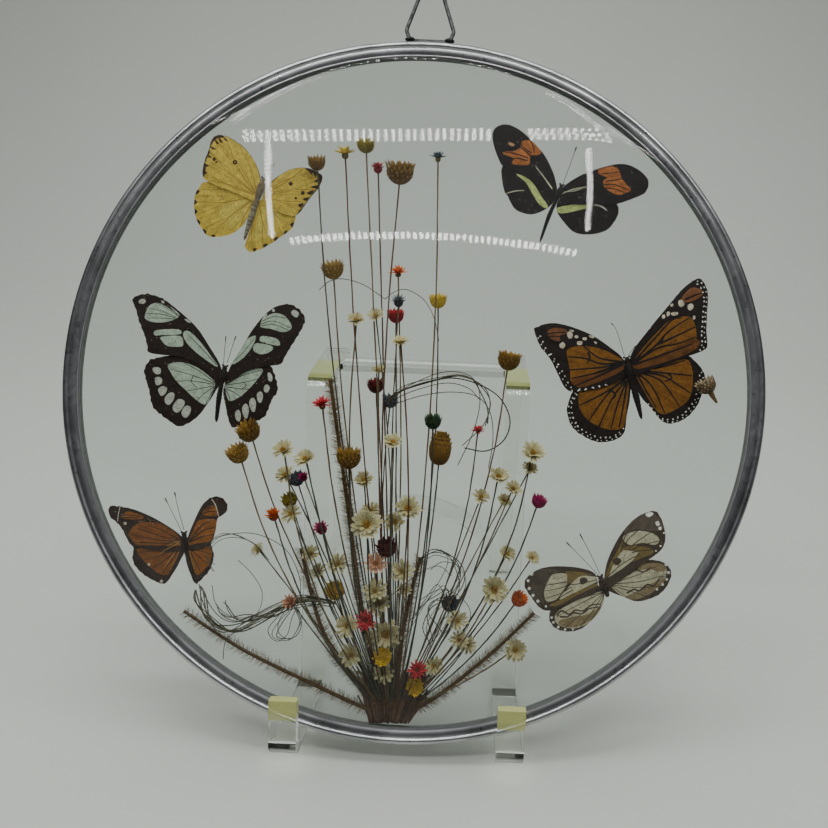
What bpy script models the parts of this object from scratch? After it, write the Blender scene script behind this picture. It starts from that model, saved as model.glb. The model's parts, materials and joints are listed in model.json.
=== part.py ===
"""Butterflies and dried flowers between two domed glasses in a round metal rim, on a clear easel.

The framed pieces are modelled in the rim's own axes: X to the right, Y up the glass and Z out
towards the viewer, with the origin at the rim's centre. An empty carries them and leans them back
on the easel, which stands on the world's XY plane with its front towards -Y.
"""
import math

import bpy
import bmesh
import numpy as np
from mathutils import Matrix, Vector

MM = 0.001

# Rim and glass, turned about the rim's axis
RIM_RADIUS = 160 * MM
RIM_FACE_WIDTH = 6.6 * MM
RIM_HALF_DEPTH = 3.7 * MM
RIM_WALL = 1.0 * MM
RIM_EDGE_ROUND = 0.9 * MM
TURN_STEPS = 40
GLASS_THICKNESS = 2.2 * MM
GLASS_RADIUS = 158.5 * MM
DOME_RADIUS = 152.5 * MM
DOME_RISE = 31 * MM
GLASS_GAP = 0.15 * MM
DOME_RINGS = 3
FLANGE_FACE = GLASS_GAP + GLASS_THICKNESS
SPHERE_RADIUS = (DOME_RADIUS ** 2 + DOME_RISE ** 2) / (2 * DOME_RISE)
SPHERE_DROP = math.sqrt(SPHERE_RADIUS ** 2 - DOME_RADIUS ** 2) - FLANGE_FACE

# Easel, one strip 12 mm wide bent four times on each side, with two cross pieces
LEAN = math.radians(22)
UPRIGHT_LEAN = math.radians(15.5)
LEDGE_SLOPE = math.radians(14)
TOP_SLOPE = math.radians(2)
LEG_SPLAY = math.radians(4)
SHEET = 4.5 * MM
ARM_WIDTH = 12 * MM
ARM_SPACING = 99 * MM
LIP_HEIGHT = 24.5 * MM
LEDGE_LENGTH = 67.9 * MM
UPRIGHT_LENGTH = 156 * MM
TOP_LENGTH = 57 * MM
LIP_TO_RIM = 21.1 * MM
BEND_RADIUS = 8 * MM
LIP_BEND_RADIUS = 5 * MM
TOP_BEND_RADIUS = 6 * MM
FOOT_FLAT = 0.6 * MM
ARCH_CENTRE = 50 * MM
ARCH_HEIGHT = 6.5 * MM
CROSSBAR_REACH = 24 * MM
CROSSBAR_WIDTH = 14 * MM
CROSS_SHEET = 4.0 * MM

# Hanging loop of steel wire on the rim's top, with a solder drop at each foot
WIRE_RADIUS = 0.9 * MM
LOOP_HALF_FOOT = 9 * MM
LOOP_HALF_WIDTH = 10.9 * MM
LOOP_SHOULDER = 4.6 * MM
LOOP_HEIGHT = 33 * MM
LOOP_TIP_RADIUS = 3.4 * MM
SOLDER_RADIUS = 1.9 * MM

# Clearances
TOUCH = 0.3 * MM
WING_THICKNESS = 0.5 * MM
WING_REACH_PIXELS = 319
WING_TILTS = (1.0, 0.85, 0.7, 0.55, 0.4, 0.25, 0.1, 0.0)
WING_LIFT_STEP = 0.4 * MM
WING_LIFT_STEPS = 20
STEM_RADIUS = 0.36 * MM

# The photograph's view in its 828 pixel frame, square on to the rim. Outlines were read from it
FOCAL_PIXELS = 800.0
VIEW_AXIS_PIXEL = (465.0, 414.0)
VIEW_ROLL = math.radians(2.5)
RIM_CENTRE_PIXEL = (414.4, 393.1)
RIM_RADIUS_PIXELS = 353.0
EYE_DISTANCE = RIM_RADIUS * FOCAL_PIXELS / RIM_RADIUS_PIXELS + RIM_HALF_DEPTH
PIXEL = EYE_DISTANCE / FOCAL_PIXELS

# Bouquet: the glued foot and the fan of stems above it
FOOT_PIXEL = (392, 714)
FOOT_TOP_PIXEL = 700
FOOT_HALF_WIDTH = (8.0 * MM, 12.5 * MM)
FOOT_HALF_DEPTH = 1.0 * MM
FOOT_SHOULDER = 0.7
STEM_FAN_DEPTH = 10 * MM
STEM_DEPTHS = (0.0, 0.4, -0.4, 0.8, -0.8, 0.2, -0.2, 0.6, -0.6, 1.0, -1.0, 1.2, -1.2, 1.4, -1.4, 0.1, -0.1,
               0.3, -0.3, 0.5, -0.5, 0.7, -0.7, 0.9, -0.9, 1.6, -1.6, 1.8, -1.8)
FRONT_DEPTHS = (1.0, 0.7, 1.3, 0.45, 1.6, 1.9, 0.2, 0.0, -0.3, -0.6, -0.9)
STEM_SHIFTS = (0.0, 1.1 * MM, -1.1 * MM, 2.2 * MM, -2.2 * MM, 3.3 * MM, -3.3 * MM, 4.4 * MM, -4.4 * MM)
STEM_BOWS = (0.0, 0.015, -0.015, 0.03, -0.03)
STEM_CLEARANCE = 0.25 * MM

# Each flower: name, head pixel, head width in pixels, kind, how far it faces the viewer, bow, colour
YELLOW = (0.75, 0.55, 0.05)
OLIVE = (0.42, 0.36, 0.05)
BROWN = (0.30, 0.16, 0.04)
OCHRE = (0.45, 0.25, 0.05)
CREAM = (0.72, 0.62, 0.38)
RED = (0.55, 0.04, 0.05)
DARK_RED = (0.20, 0.02, 0.03)
ORANGE = (0.70, 0.16, 0.02)
TEAL = (0.05, 0.09, 0.11)
GREEN = (0.05, 0.09, 0.04)
MAGENTA = (0.45, 0.02, 0.14)
NAVY = (0.02, 0.03, 0.06)
FLOWERS = (
    ("yellow_flower_low", (336, 592), 22, "cup", 0.5, 0.03, YELLOW),
    ("yellow_star_flower", (345, 154), 24, "star", 0.2, 0.01, YELLOW),
    ("olive_flower", (366, 146.5), 20, "cup", 0.2, 0.0, OLIVE),
    ("red_bud_tall", (378, 169.5), 15, "cup", 0.2, 0.0, RED),
    ("brown_strawflower_tall", (400, 174), 31, "cup", 0.25, 0.02, BROWN),
    ("cream_daisy_low_right", (494, 590), 30, "daisy", 0.75, -0.03, CREAM),
    ("cream_daisy_right_centre", (408, 509), 28, "daisy", 0.6, -0.01, CREAM),
    ("large_cream_daisy", (366.5, 525), 32, "daisy", 0.7, 0.02, CREAM),
    ("cream_daisy_middle", (364, 480), 22, "daisy", 0.55, 0.02, CREAM),
    ("cream_daisy_centre", (393, 442), 20, "daisy", 0.5, 0.0, CREAM),
    ("white_daisy", (386, 634), 34, "daisy", 0.95, 0.0, CREAM),
    ("brown_strawflower_left", (317, 164), 20, "cup", 0.15, 0.02, BROWN),
    ("teal_flower", (438, 158), 19, "star", 0.2, -0.02, TEAL),
    ("ochre_strawflower", (333, 271), 26, "cup", 0.3, 0.02, OCHRE),
    ("orange_star_flower", (398, 273), 22, "star", 0.35, -0.01, ORANGE),
    ("red_flower_middle", (396, 317), 19, "cup", 0.3, 0.0, RED),
    ("yellow_flower_right", (438, 302), 20, "cup", 0.3, -0.03, YELLOW),
    ("brown_strawflower_right", (508.6, 362), 26, "cup", 0.15, -0.05, BROWN),
    ("cream_daisy_upper_left", (356, 320), 20, "daisy", 0.5, 0.01, CREAM),
    ("cream_daisy_upper", (400.5, 342), 19, "daisy", 0.4, 0.0, CREAM),
    ("dark_red_flower", (376, 387), 20, "cup", 0.3, 0.0, DARK_RED),
    ("red_star_flower", (322, 405), 22, "star", 0.35, 0.03, RED),
    ("brown_strawflower_low_left", (249.6, 433), 27, "cup", 0.4, 0.05, BROWN),
    ("brown_strawflower_far_left", (239, 455), 24, "cup", 0.4, 0.06, OCHRE),
    ("brown_strawflower_middle", (349, 460), 26, "cup", 0.2, 0.02, BROWN),
    ("dark_green_flower", (433, 423), 18, "cup", 0.3, -0.03, GREEN),
    ("brown_seed_head", (440, 450), 25, "egg", 0.0, -0.02, BROWN),
    ("small_red_star", (478, 431), 16, "star", 0.4, -0.05, RED),
    ("cream_daisy_left_top", (283, 450), 24, "daisy", 0.5, 0.05, CREAM),
    ("cream_daisy_left", (305, 459), 23, "daisy", 0.5, 0.04, CREAM),
    ("cream_daisy_right_top", (533, 453), 26, "daisy", 0.6, -0.08, CREAM),
    ("cream_daisy_right", (498.5, 476.5), 22, "daisy", 0.5, -0.06, CREAM),
    ("magenta_bud", (538.5, 502.5), 17, "cup", 0.2, -0.07, MAGENTA),
    ("cream_daisy_far_right", (507, 554), 20, "daisy", 0.5, -0.04, CREAM),
    ("orange_flower_right", (518, 600), 18, "cup", 0.4, -0.04, ORANGE),
    ("cream_daisy_lowest_right", (515, 650), 25, "daisy", 0.8, -0.02, CREAM),
    ("navy_flower", (449, 605), 19, "cup", 0.4, -0.02, NAVY),
    ("orange_flower_left", (273.6, 516.5), 16, "cup", 0.3, 0.05, ORANGE),
)

# Bristly stems: name, pixels from the foot to the tip, radius at the foot
BRISTLY_STEMS = (
    ("bristly_stem_far_left", ((360, 706), (300, 678), (240, 648), (184, 611)), 0.75 * MM),
    ("bristly_stem_left", ((371, 696), (340, 662), (318, 618), (301, 548)), 0.85 * MM),
    ("bristly_stem_tall", ((381, 696), (362, 610), (347, 500), (330, 378)), 0.85 * MM),
    ("bristly_stem_centre", ((396, 696), (400, 650), (408, 605), (421, 556)), 0.9 * MM),
    ("bristly_stem_right", ((423, 705), (450, 687), (495, 650), (535, 612)), 0.75 * MM),
)

# Free curly tendrils: name, pixels along the strand, height above the rim's plane
TENDRILS = (
    ("tendril_upper", ((386, 402), (400, 391), (425, 383), (452, 378), (478, 384), (500, 398), (510, 420),
                       (504, 440), (486, 451), (464, 448)), 17 * MM),
    ("tendril_lower_left", ((332, 604), (310, 600), (288, 603), (262, 616), (238, 629), (218, 628),
                            (203, 612), (195, 588)), 3.2 * MM),
)
TENDRIL_RADIUS = 0.4 * MM

# Butterflies: thorax, body from tail to head, body width, four wing outlines and the antennae, in pixels
BUTTERFLIES = {
    "yellow_butterfly": {
        "body": ((244.2, 240), (251, 218), (259.8, 191), (264, 178)), "widths": (3.5, 8, 9, 5),
        "forewings": (
            ((261.6, 185), (258, 173), (251, 160.5), (241, 147.5), (229, 137.5), (217.8, 134.8),
             (210.6, 143.5), (204.5, 160.8), (202.4, 171), (205, 180), (230, 188), (257, 197)),
            ((268, 186), (278, 178.2), (290, 170), (300.4, 167.4), (312.7, 170), (322.9, 177), (315.7, 191.4),
             (305.5, 205.7), (295.3, 215.4), (280, 211), (262, 199))),
        "hindwings": (
            ((257, 194), (230, 185), (206.5, 181.2), (197.3, 190.4), (194, 200.6), (194.8, 210), (198.4, 223),
             (204.5, 233.3), (212.7, 237.3), (229, 235.3), (243.3, 226.1), (251.4, 211.8)),
            ((262, 199), (280, 207), (294.3, 214), (293.3, 225.1), (288.2, 232.2), (276.9, 238.4),
             (265.7, 246.5), (253.5, 252.1), (245.5, 247), (251.4, 227.1), (256, 208))),
        "antennae": (((266, 178), (274, 164)),),
    },
    "black_butterfly": {
        "body": ((540, 242), (549, 216), (558.5, 195), (562, 184.5)), "widths": (2.5, 6, 9, 6),
        "forewings": (
            ((556, 187), (553.5, 176), (547, 160), (536, 144), (525.9, 134.7), (513.3, 126.1), (503, 124.3),
             (494.9, 128.4), (492.1, 138), (497.2, 155.9), (504, 166.3), (519, 172), (540, 187), (554, 196)),
            ((562.7, 188.1), (576.4, 177.7), (594.8, 169.7), (617.8, 164), (632.7, 166.3), (645.3, 175.4),
             (648.8, 183.5), (645.3, 192.7), (633.8, 198.4), (616.6, 204.1), (583.3, 205), (562, 200))),
        "hindwings": (
            ((554, 190), (535, 175), (503.5, 164), (501.8, 178.9), (504.7, 192.7), (507.6, 197),
             (514.4, 208.7), (525.9, 213.9), (535.1, 213.9), (546.6, 208.7), (553.5, 201.8)),
            ((561, 198), (583.3, 199.5), (610, 199), (618.9, 211), (615.5, 220.2), (606.3, 230.5),
             (590.2, 234.6), (575.3, 232.8), (566.1, 224.8), (556.9, 211))),
        "antennae": (((563, 184), (571, 162), (576.4, 147)),),
    },
    "pale_green_butterfly": {
        "body": ((216.3, 422), (219, 398), (222.7, 378), (225.2, 365.5)), "widths": (4, 6, 11, 8),
        "forewings": (
            ((222, 368), (209.3, 346.3), (196.5, 327.2), (177.4, 309.3), (162.1, 297.9), (145.5, 293.4),
             (134, 296.6), (135.3, 309.3), (139.1, 322.1), (144.9, 337.4), (150.6, 353.3), (182.5, 357),
             (202, 368), (219, 383)),
            ((229.7, 368), (242.4, 346.3), (255.2, 325.9), (270.5, 309.3), (285.8, 303.6), (297.3, 306.8),
             (305.6, 318.3), (301.1, 331), (294.7, 341.2), (288.4, 351.4), (280.7, 364.2), (247, 372),
             (226, 384))),
        "hindwings": (
            ((219, 376), (205, 360), (180, 354), (153.2, 358), (143.6, 370.6), (145.5, 379.5), (148.7, 391),
             (151.9, 406.3), (159.5, 413.9), (180.6, 426.7), (196.5, 417.8), (206.7, 405), (218, 390)),
            ((227, 377), (247, 366), (266.7, 362), (276, 372), (278.2, 389.7), (273.1, 398.6), (265.4, 416.5),
             (259, 420.3), (234.8, 428), (228.4, 420.3), (225.9, 407.6), (222, 388))),
        "antennae": (((223.5, 365), (225.9, 336)), ((226.5, 364), (235.8, 336))),
    },
    "orange_brown_monarch": {
        "body": ((641.6, 419), (636, 396), (630, 374), (626.6, 357)), "widths": (4, 8, 12, 8),
        "forewings": (
            ((624, 362), (610.2, 347.4), (591.8, 335.1), (568.9, 325.9), (550.5, 322.9), (535.2, 327.5),
             (539.8, 345.8), (550.5, 359.6), (558.2, 374.9), (565.8, 388.7), (576.5, 391), (605, 385),
             (627, 375)),
            ((630.9, 358), (646.9, 332), (666.8, 307.6), (683.7, 287.7), (697.5, 278.5), (703.6, 281.5),
             (708.2, 293.8), (707.4, 310.6), (706.6, 332), (705.1, 349.6), (683.7, 359), (655, 368),
             (633, 377))),
        "hindwings": (
            ((627, 372), (604, 380), (576.5, 388), (567.4, 405.5), (567.4, 414.7), (571.9, 426.9),
             (582.7, 436.1), (598, 442.3), (613.3, 440.7), (624, 433.1), (627, 414.7), (632, 393)),
            ((633, 374), (655, 365), (683.7, 356), (695.9, 362.7), (705.1, 379.5), (702.1, 393.3),
             (697.5, 405.5), (686.7, 417.8), (671.4, 423.9), (660.7, 420.1), (650, 407), (638, 394))),
        "antennae": (((624.5, 357), (616.3, 330), (611.4, 323.2)), ((628, 356), (635.5, 345.8))),
    },
    "orange_butterfly": {
        "body": ((195, 583), (189, 562), (184.6, 544), (184, 532)), "widths": (3, 5, 8, 6),
        "forewings": (
            ((181.5, 538), (165, 524.2), (147.6, 514.8), (130.2, 508.1), (116.5, 506.5), (113.5, 511),
             (118, 521), (126.2, 537.6), (131.5, 545.6), (141, 548), (165, 552), (182, 549)),
            ((187, 540), (189.8, 533.6), (195.8, 517.5), (203.8, 502.8), (214.5, 496.1), (223.9, 498.7),
             (227.9, 506.8), (225.3, 513.5), (217.9, 518.8), (215.9, 529.6), (210, 544), (198, 549),
             (186, 550))),
        "hindwings": (
            ((182, 547), (160, 543), (135, 543), (132.2, 559), (135.5, 567), (143.6, 575.1), (154.3, 581.1),
             (165, 583.8), (173, 573.7), (183, 558)),
            ((186, 547), (197, 540), (207.9, 539), (213.9, 557.7), (210.5, 569.7), (202.5, 579.1),
             (197, 583), (190.5, 571.1), (186.5, 557.7))),
        "antennae": (((181.5, 531), (165, 498.1)), ((184, 530), (174.6, 492.1))),
    },
    "cream_brown_butterfly": {
        "body": ((608, 597), (606, 591), (603, 584.5), (600, 575.5)), "widths": (5, 8, 9, 6),
        "forewings": (
            ((599, 583), (592, 573), (577.9, 567.6), (552.4, 566.3), (536.7, 570), (525.8, 578.5),
             (524.5, 586.9), (530.6, 596.6), (539.1, 607.5), (548.8, 611), (561, 606), (580, 598),
             (600, 591)),
            ((604, 580), (606.9, 562.7), (614.2, 545.7), (623.9, 530), (637.2, 516.7), (653, 510.6),
             (663.9, 525.1), (665.7, 538.5), (662.7, 548.2), (655.4, 555), (643.3, 564), (631, 573),
             (607, 587))),
        "hindwings": (
            ((601, 586), (580, 593), (561, 600), (551, 607), (548.8, 616), (551.2, 624.5), (558.5, 630),
             (570.6, 631.8), (582.7, 628.1), (594.8, 617.2), (602.1, 606.3), (604, 593)),
            ((606, 583), (631, 568), (643, 560), (657.8, 560.3), (667.5, 565.1), (671.8, 573.6),
             (668.7, 583.3), (662.7, 591.8), (653, 597.8), (637.2, 601.5), (622.7, 596.6), (608, 590))),
        "antennae": (((598, 575), (566.3, 542.1)), ((600, 574), (579.7, 533.6))),
    },
}
BUTTERFLY_COLOURS = {
    "yellow_butterfly": (0.75, 0.58, 0.16), "black_butterfly": (0.03, 0.02, 0.02),
    "pale_green_butterfly": (0.45, 0.58, 0.45), "orange_brown_monarch": (0.42, 0.15, 0.03),
    "orange_butterfly": (0.32, 0.10, 0.02), "cream_brown_butterfly": (0.45, 0.38, 0.26),
}
LOOSE_BUD_PIXELS = ((716, 402), (706, 384))
LOOSE_BUD_WIDTH = 22


def clear_scene():
    for item in list(bpy.data.objects):
        bpy.data.objects.remove(item, do_unlink=True)


def new_collection(name):
    collection = bpy.data.collections.new(name)
    bpy.context.scene.collection.children.link(collection)
    return collection


def principled(name, colour, roughness, metallic=0.0, transmission=0.0):
    material = bpy.data.materials.new(name)
    material.use_nodes = True
    shader = material.node_tree.nodes["Principled BSDF"]
    shader.inputs["Base Color"].default_value = (*colour, 1.0)
    shader.inputs["Roughness"].default_value = roughness
    shader.inputs["Metallic"].default_value = metallic
    shader.inputs["Transmission Weight"].default_value = transmission
    material.diffuse_color = (*colour, 1.0)
    return material


def add_object(name, data, collection, parent=None, material=None):
    item = bpy.data.objects.new(name, data)
    collection.objects.link(item)
    item.parent = parent
    if material is not None:
        data.materials.append(material)
    return item


def evaluated_mesh(item):
    """The item's mesh with its modifiers, welded and facing outwards, in the item's own axes."""
    bpy.context.view_layer.update()
    depsgraph = bpy.context.evaluated_depsgraph_get()
    mesh = bpy.data.meshes.new_from_object(item.evaluated_get(depsgraph))
    work = bmesh.new()
    work.from_mesh(mesh)
    bmesh.ops.remove_doubles(work, verts=work.verts, dist=1e-6)
    bmesh.ops.recalc_face_normals(work, faces=work.faces)
    work.to_mesh(mesh)
    work.free()
    return mesh


def bake(item, name=None):
    """Replaces a curve or a modified object by a plain mesh object of the same place and parent."""
    mesh = evaluated_mesh(item)
    made = bpy.data.objects.new(name or item.name, mesh)
    made.parent = item.parent
    made.matrix_world = item.matrix_world
    item.users_collection[0].objects.link(made)
    label = item.name
    bpy.data.objects.remove(item, do_unlink=True)
    made.name = name or label
    return made


def unite(base, others):
    """Joins overlapping solids into one closed body."""
    for other in others:
        union = base.modifiers.new("Join", "BOOLEAN")
        union.operation = "UNION"
        union.solver = "EXACT"
        union.object = other
    joined = bake(base)
    for other in others:
        bpy.data.objects.remove(other, do_unlink=True)
    return joined


def tube(name, points, radii, collection, parent=None, sides_level=1, closed=False):
    """A round tube through the points, whose radius may change along it."""
    curve = bpy.data.curves.new(name, "CURVE")
    curve.dimensions = "3D"
    curve.bevel_depth = 1.0 * MM
    curve.bevel_resolution = sides_level
    curve.use_fill_caps = not closed
    spline = curve.splines.new("POLY")
    spline.points.add(len(points) - 1)
    for point, place, radius in zip(spline.points, points, radii):
        point.co = (*place, 1.0)
        point.radius = radius / MM
    spline.use_cyclic_u = closed
    return bake(add_object(name, curve, collection, parent))


def plate(name, outline, thickness, collection, parent=None):
    """A flat plate of the outline's shape, centred on its XY plane."""
    curve = bpy.data.curves.new(name, "CURVE")
    curve.dimensions = "2D"
    curve.fill_mode = "BOTH"
    curve.extrude = thickness / 2
    spline = curve.splines.new("POLY")
    spline.points.add(len(outline) - 1)
    for point, place in zip(spline.points, outline):
        point.co = (place[0], place[1], 0.0, 1.0)
    spline.use_cyclic_u = True
    return bake(add_object(name, curve, collection, parent))


def turned(name, profile, closed, collection, parent, material):
    """A profile in the XZ plane, turned about Z."""
    mesh = bpy.data.meshes.new(name)
    edges = [(i, i + 1) for i in range(len(profile) - 1)]
    if closed:
        edges.append((len(profile) - 1, 0))
    mesh.from_pydata([(r, 0.0, z) for r, z in profile], edges, [])
    item = add_object(name, mesh, collection, parent, material)
    screw = item.modifiers.new("Turn", "SCREW")
    screw.axis = "Z"
    screw.steps = TURN_STEPS
    screw.render_steps = TURN_STEPS
    screw.use_merge_vertices = True
    screw.merge_threshold = 1e-6
    screw.use_smooth_shade = True
    return item


def smooth_round(item, angle=35):
    item.data.shade_smooth()
    item.data.set_sharp_from_angle(angle=math.radians(angle))


def spline_points(points, steps):
    """Points of a smooth curve through the given ones, a Catmull-Rom spline."""
    knots = [Vector(p) for p in points]
    knots = [2 * knots[0] - knots[1]] + knots + [2 * knots[-1] - knots[-2]]
    result = []
    for i in range(1, len(knots) - 2):
        before, start, end, after = knots[i - 1:i + 3]
        for step in range(steps):
            t = step / steps
            result.append(0.5 * (2 * start + (end - before) * t
                                 + (2 * before - 5 * start + 4 * end - after) * t ** 2
                                 + (3 * start - before - 3 * end + after) * t ** 3))
    result.append(knots[-2])
    return result


def rounded_path(corners, radii, steps):
    """A path through the corners with each inner one replaced by an arc of its radius."""
    corners = [Vector(c) for c in corners]
    path = [corners[0]]
    for i in range(1, len(corners) - 1):
        back = (corners[i - 1] - corners[i]).normalized()
        ahead = (corners[i + 1] - corners[i]).normalized()
        half = back.angle(ahead) / 2
        centre = corners[i] + (back + ahead).normalized() * radii[i - 1] / math.sin(half)
        start = corners[i] + back * radii[i - 1] / math.tan(half) - centre
        end = corners[i] + ahead * radii[i - 1] / math.tan(half) - centre
        turn = start.angle(end)
        axis = start.cross(end)
        for step in range(steps + 1):
            path.append(centre + Matrix.Rotation(turn * step / steps, 3, axis) @ start)
    path.append(corners[-1])
    return path


def direction(angle_from_back):
    """A unit vector in the world's YZ plane, at an angle above the way to the back."""
    return Vector((0.0, math.cos(angle_from_back), math.sin(angle_from_back)))


def arm_corners():
    """The middle line of an easel arm, with the ledge's rear corner over Y = 0."""
    ledge = direction(-LEDGE_SLOPE)
    upright = direction(math.pi / 2 - UPRIGHT_LEAN)
    turn = (-ledge).angle(upright)
    arc_centre = (upright - ledge).normalized() * BEND_RADIUS / math.sin(turn / 2)
    height = BEND_RADIUS + SHEET / 2 - FOOT_FLAT - arc_centre.z
    rear = Vector((0.0, 0.0, height))
    front = rear - ledge * LEDGE_LENGTH
    lip = front + direction(math.pi / 2 - LEDGE_SLOPE) * LIP_HEIGHT
    top = rear + upright * UPRIGHT_LENGTH
    back = top + direction(-TOP_SLOPE) * TOP_LENGTH
    leg = direction(LEG_SPLAY - math.pi / 2)
    foot = back + leg * ((back.z + FOOT_FLAT * 5) / -leg.z)
    return [lip, front, rear, top, back, foot]


def rim_centre():
    """Where the rim's centre is when the rim stands on the ledges, its lower part between the lips."""
    front = arm_corners()[1]
    along = direction(-LEDGE_SLOPE)
    out = direction(math.pi / 2 - LEDGE_SLOPE)
    contact = front + along * LIP_TO_RIM + out * (SHEET / 2 + TOUCH)
    inner_edge = ARM_SPACING / 2 - ARM_WIDTH / 2
    drop = math.sqrt(RIM_RADIUS ** 2 - inner_edge ** 2)
    up = Vector((0.0, math.sin(LEAN), math.cos(LEAN)))
    forward = Vector((0.0, -math.cos(LEAN), math.sin(LEAN)))
    return contact + up * drop + forward * RIM_HALF_DEPTH


def glass_height(radius):
    """Height of the front glass's faceted inner face over the rim's plane, at its lowest round a circle."""
    inner = SPHERE_RADIUS - GLASS_THICKNESS
    radii = [DOME_RADIUS * ring / DOME_RINGS * inner / SPHERE_RADIUS for ring in range(DOME_RINGS + 1)]
    heights = [math.sqrt(inner ** 2 - r ** 2) - SPHERE_DROP for r in radii]
    return np.interp(radius / math.cos(math.pi / TURN_STEPS), radii + [GLASS_RADIUS], heights + [GLASS_GAP])


def eye():
    """The viewer's eye in the rim's axes."""
    aside = (VIEW_AXIS_PIXEL[0] - RIM_CENTRE_PIXEL[0]) * PIXEL
    below = (RIM_CENTRE_PIXEL[1] - VIEW_AXIS_PIXEL[1]) * PIXEL
    return rolled(aside, below).to_3d() + Vector((0.0, 0.0, EYE_DISTANCE))


def rolled(right, up):
    cos_roll = math.cos(VIEW_ROLL)
    sin_roll = math.sin(VIEW_ROLL)
    return Vector((right * cos_roll - up * sin_roll, right * sin_roll + up * cos_roll))


def seen_at(pixel, plane=None, height=0.0):
    """The point of a plane, or of the height over the rim's plane, that the pixel shows."""
    ray = rolled((pixel[0] - VIEW_AXIS_PIXEL[0]) / FOCAL_PIXELS,
                 (VIEW_AXIS_PIXEL[1] - pixel[1]) / FOCAL_PIXELS).to_3d() + Vector((0.0, 0.0, -1.0))
    start = eye()
    if plane is not None:
        into = plane.inverted()
        start = into @ start
        ray = into.to_3x3() @ ray
    return start + ray * ((height - start.z) / ray.z)


def make_rim(collection, parent):
    """The metal channel that grips both glasses, open inwards."""
    inner = RIM_RADIUS - RIM_FACE_WIDTH
    groove = RIM_RADIUS - RIM_WALL
    half = RIM_HALF_DEPTH
    soft = RIM_EDGE_ROUND
    lip = half - RIM_WALL
    upper = [(inner, half - soft / 2), (inner + soft, half), (RIM_RADIUS - soft, half),
             (RIM_RADIUS, half - soft)]
    lower = [(r, -z) for r, z in reversed(upper)]
    profile = upper + lower + [(inner, -lip), (groove, -lip), (groove, lip), (inner, lip)]
    metal = principled("zinc", (0.42, 0.43, 0.45), 0.35, metallic=1.0)
    return turned("rim", profile, True, collection, parent, metal)


def make_glass(name, side, collection, parent):
    """A domed glass with a flat edge that sits in the rim, bulging towards side."""
    profile = []
    for ring in range(DOME_RINGS + 1):
        radius = DOME_RADIUS * ring / DOME_RINGS
        profile.append((radius, math.sqrt(SPHERE_RADIUS ** 2 - radius ** 2) - SPHERE_DROP))
    profile.append((GLASS_RADIUS, FLANGE_FACE))
    clear = principled(name, (0.9, 0.95, 0.95), 0.02, transmission=1.0)
    item = turned(name, profile, False, collection, parent, clear)
    shell = item.modifiers.new("Shell", "SOLIDIFY")
    shell.thickness = GLASS_THICKNESS
    shell.offset = -1.0
    shell.use_even_offset = True
    if side < 0:
        item.rotation_euler = (math.pi, 0.0, 0.0)
    return item


def make_hanger(collection, parent):
    """A closed wire loop soldered at its two lower corners to the rim's top."""
    bar = RIM_RADIUS + WIRE_RADIUS + TOUCH
    corners = [(0, bar), (LOOP_HALF_FOOT, bar), (LOOP_HALF_WIDTH, bar + LOOP_SHOULDER),
               (0, bar + LOOP_HEIGHT + LOOP_TIP_RADIUS), (-LOOP_HALF_WIDTH, bar + LOOP_SHOULDER),
               (-LOOP_HALF_FOOT, bar), (0, bar)]
    corners = [Vector((x, y, 0.0)) for x, y in corners]
    path = rounded_path(corners, (1.2 * MM, 2.5 * MM, LOOP_TIP_RADIUS, 2.5 * MM, 1.2 * MM), 4)[:-1]
    wire = tube("hanging_loop", path, [WIRE_RADIUS] * len(path), collection, parent, 1, closed=True)
    drops = []
    for side in (-1, 1):
        work = bmesh.new()
        bmesh.ops.create_uvsphere(work, u_segments=8, v_segments=5, radius=SOLDER_RADIUS)
        bmesh.ops.scale(work, vec=(1.3, 0.62, 1.15), verts=work.verts)
        mesh = bpy.data.meshes.new("drop")
        work.to_mesh(mesh)
        work.free()
        drop = add_object("drop", mesh, collection, parent)
        drop.location = (side * LOOP_HALF_FOOT, bar + 0.35 * MM, 0.13 * MM)
        drops.append(drop)
    loop = unite(wire, drops)
    loop.data.materials.append(principled("steel_wire", (0.35, 0.35, 0.36), 0.35, metallic=1.0))
    smooth_round(loop, 60)
    return loop


def make_arm(name, x, collection):
    """One bent strip of the easel, its two feet cut flat on the ground."""
    corners = arm_corners()
    radii = (LIP_BEND_RADIUS, BEND_RADIUS, TOP_BEND_RADIUS, TOP_BEND_RADIUS)
    path = rounded_path(corners, radii, 5)
    mesh = bpy.data.meshes.new(name)
    half = ARM_WIDTH / 2
    verts = [(x + side * half, p.y, p.z) for p in path for side in (-1, 1)]
    faces = [(2 * i, 2 * i + 1, 2 * i + 3, 2 * i + 2) for i in range(len(path) - 1)]
    mesh.from_pydata(verts, [], faces)
    arm = add_object(name, mesh, collection)
    sheet = arm.modifiers.new("Sheet", "SOLIDIFY")
    sheet.thickness = SHEET
    sheet.offset = 0.0
    sheet.use_even_offset = True
    return bake(arm)


def make_ground_cutter(collection):
    size = 0.4
    work = bmesh.new()
    bmesh.ops.create_cube(work, size=size)
    mesh = bpy.data.meshes.new("ground_cutter")
    work.to_mesh(mesh)
    work.free()
    cutter = add_object("ground_cutter", mesh, collection)
    cutter.location = (0.0, 0.0, -size / 2)
    cutter.hide_render = True
    cutter.display_type = "WIRE"
    return cutter


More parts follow.
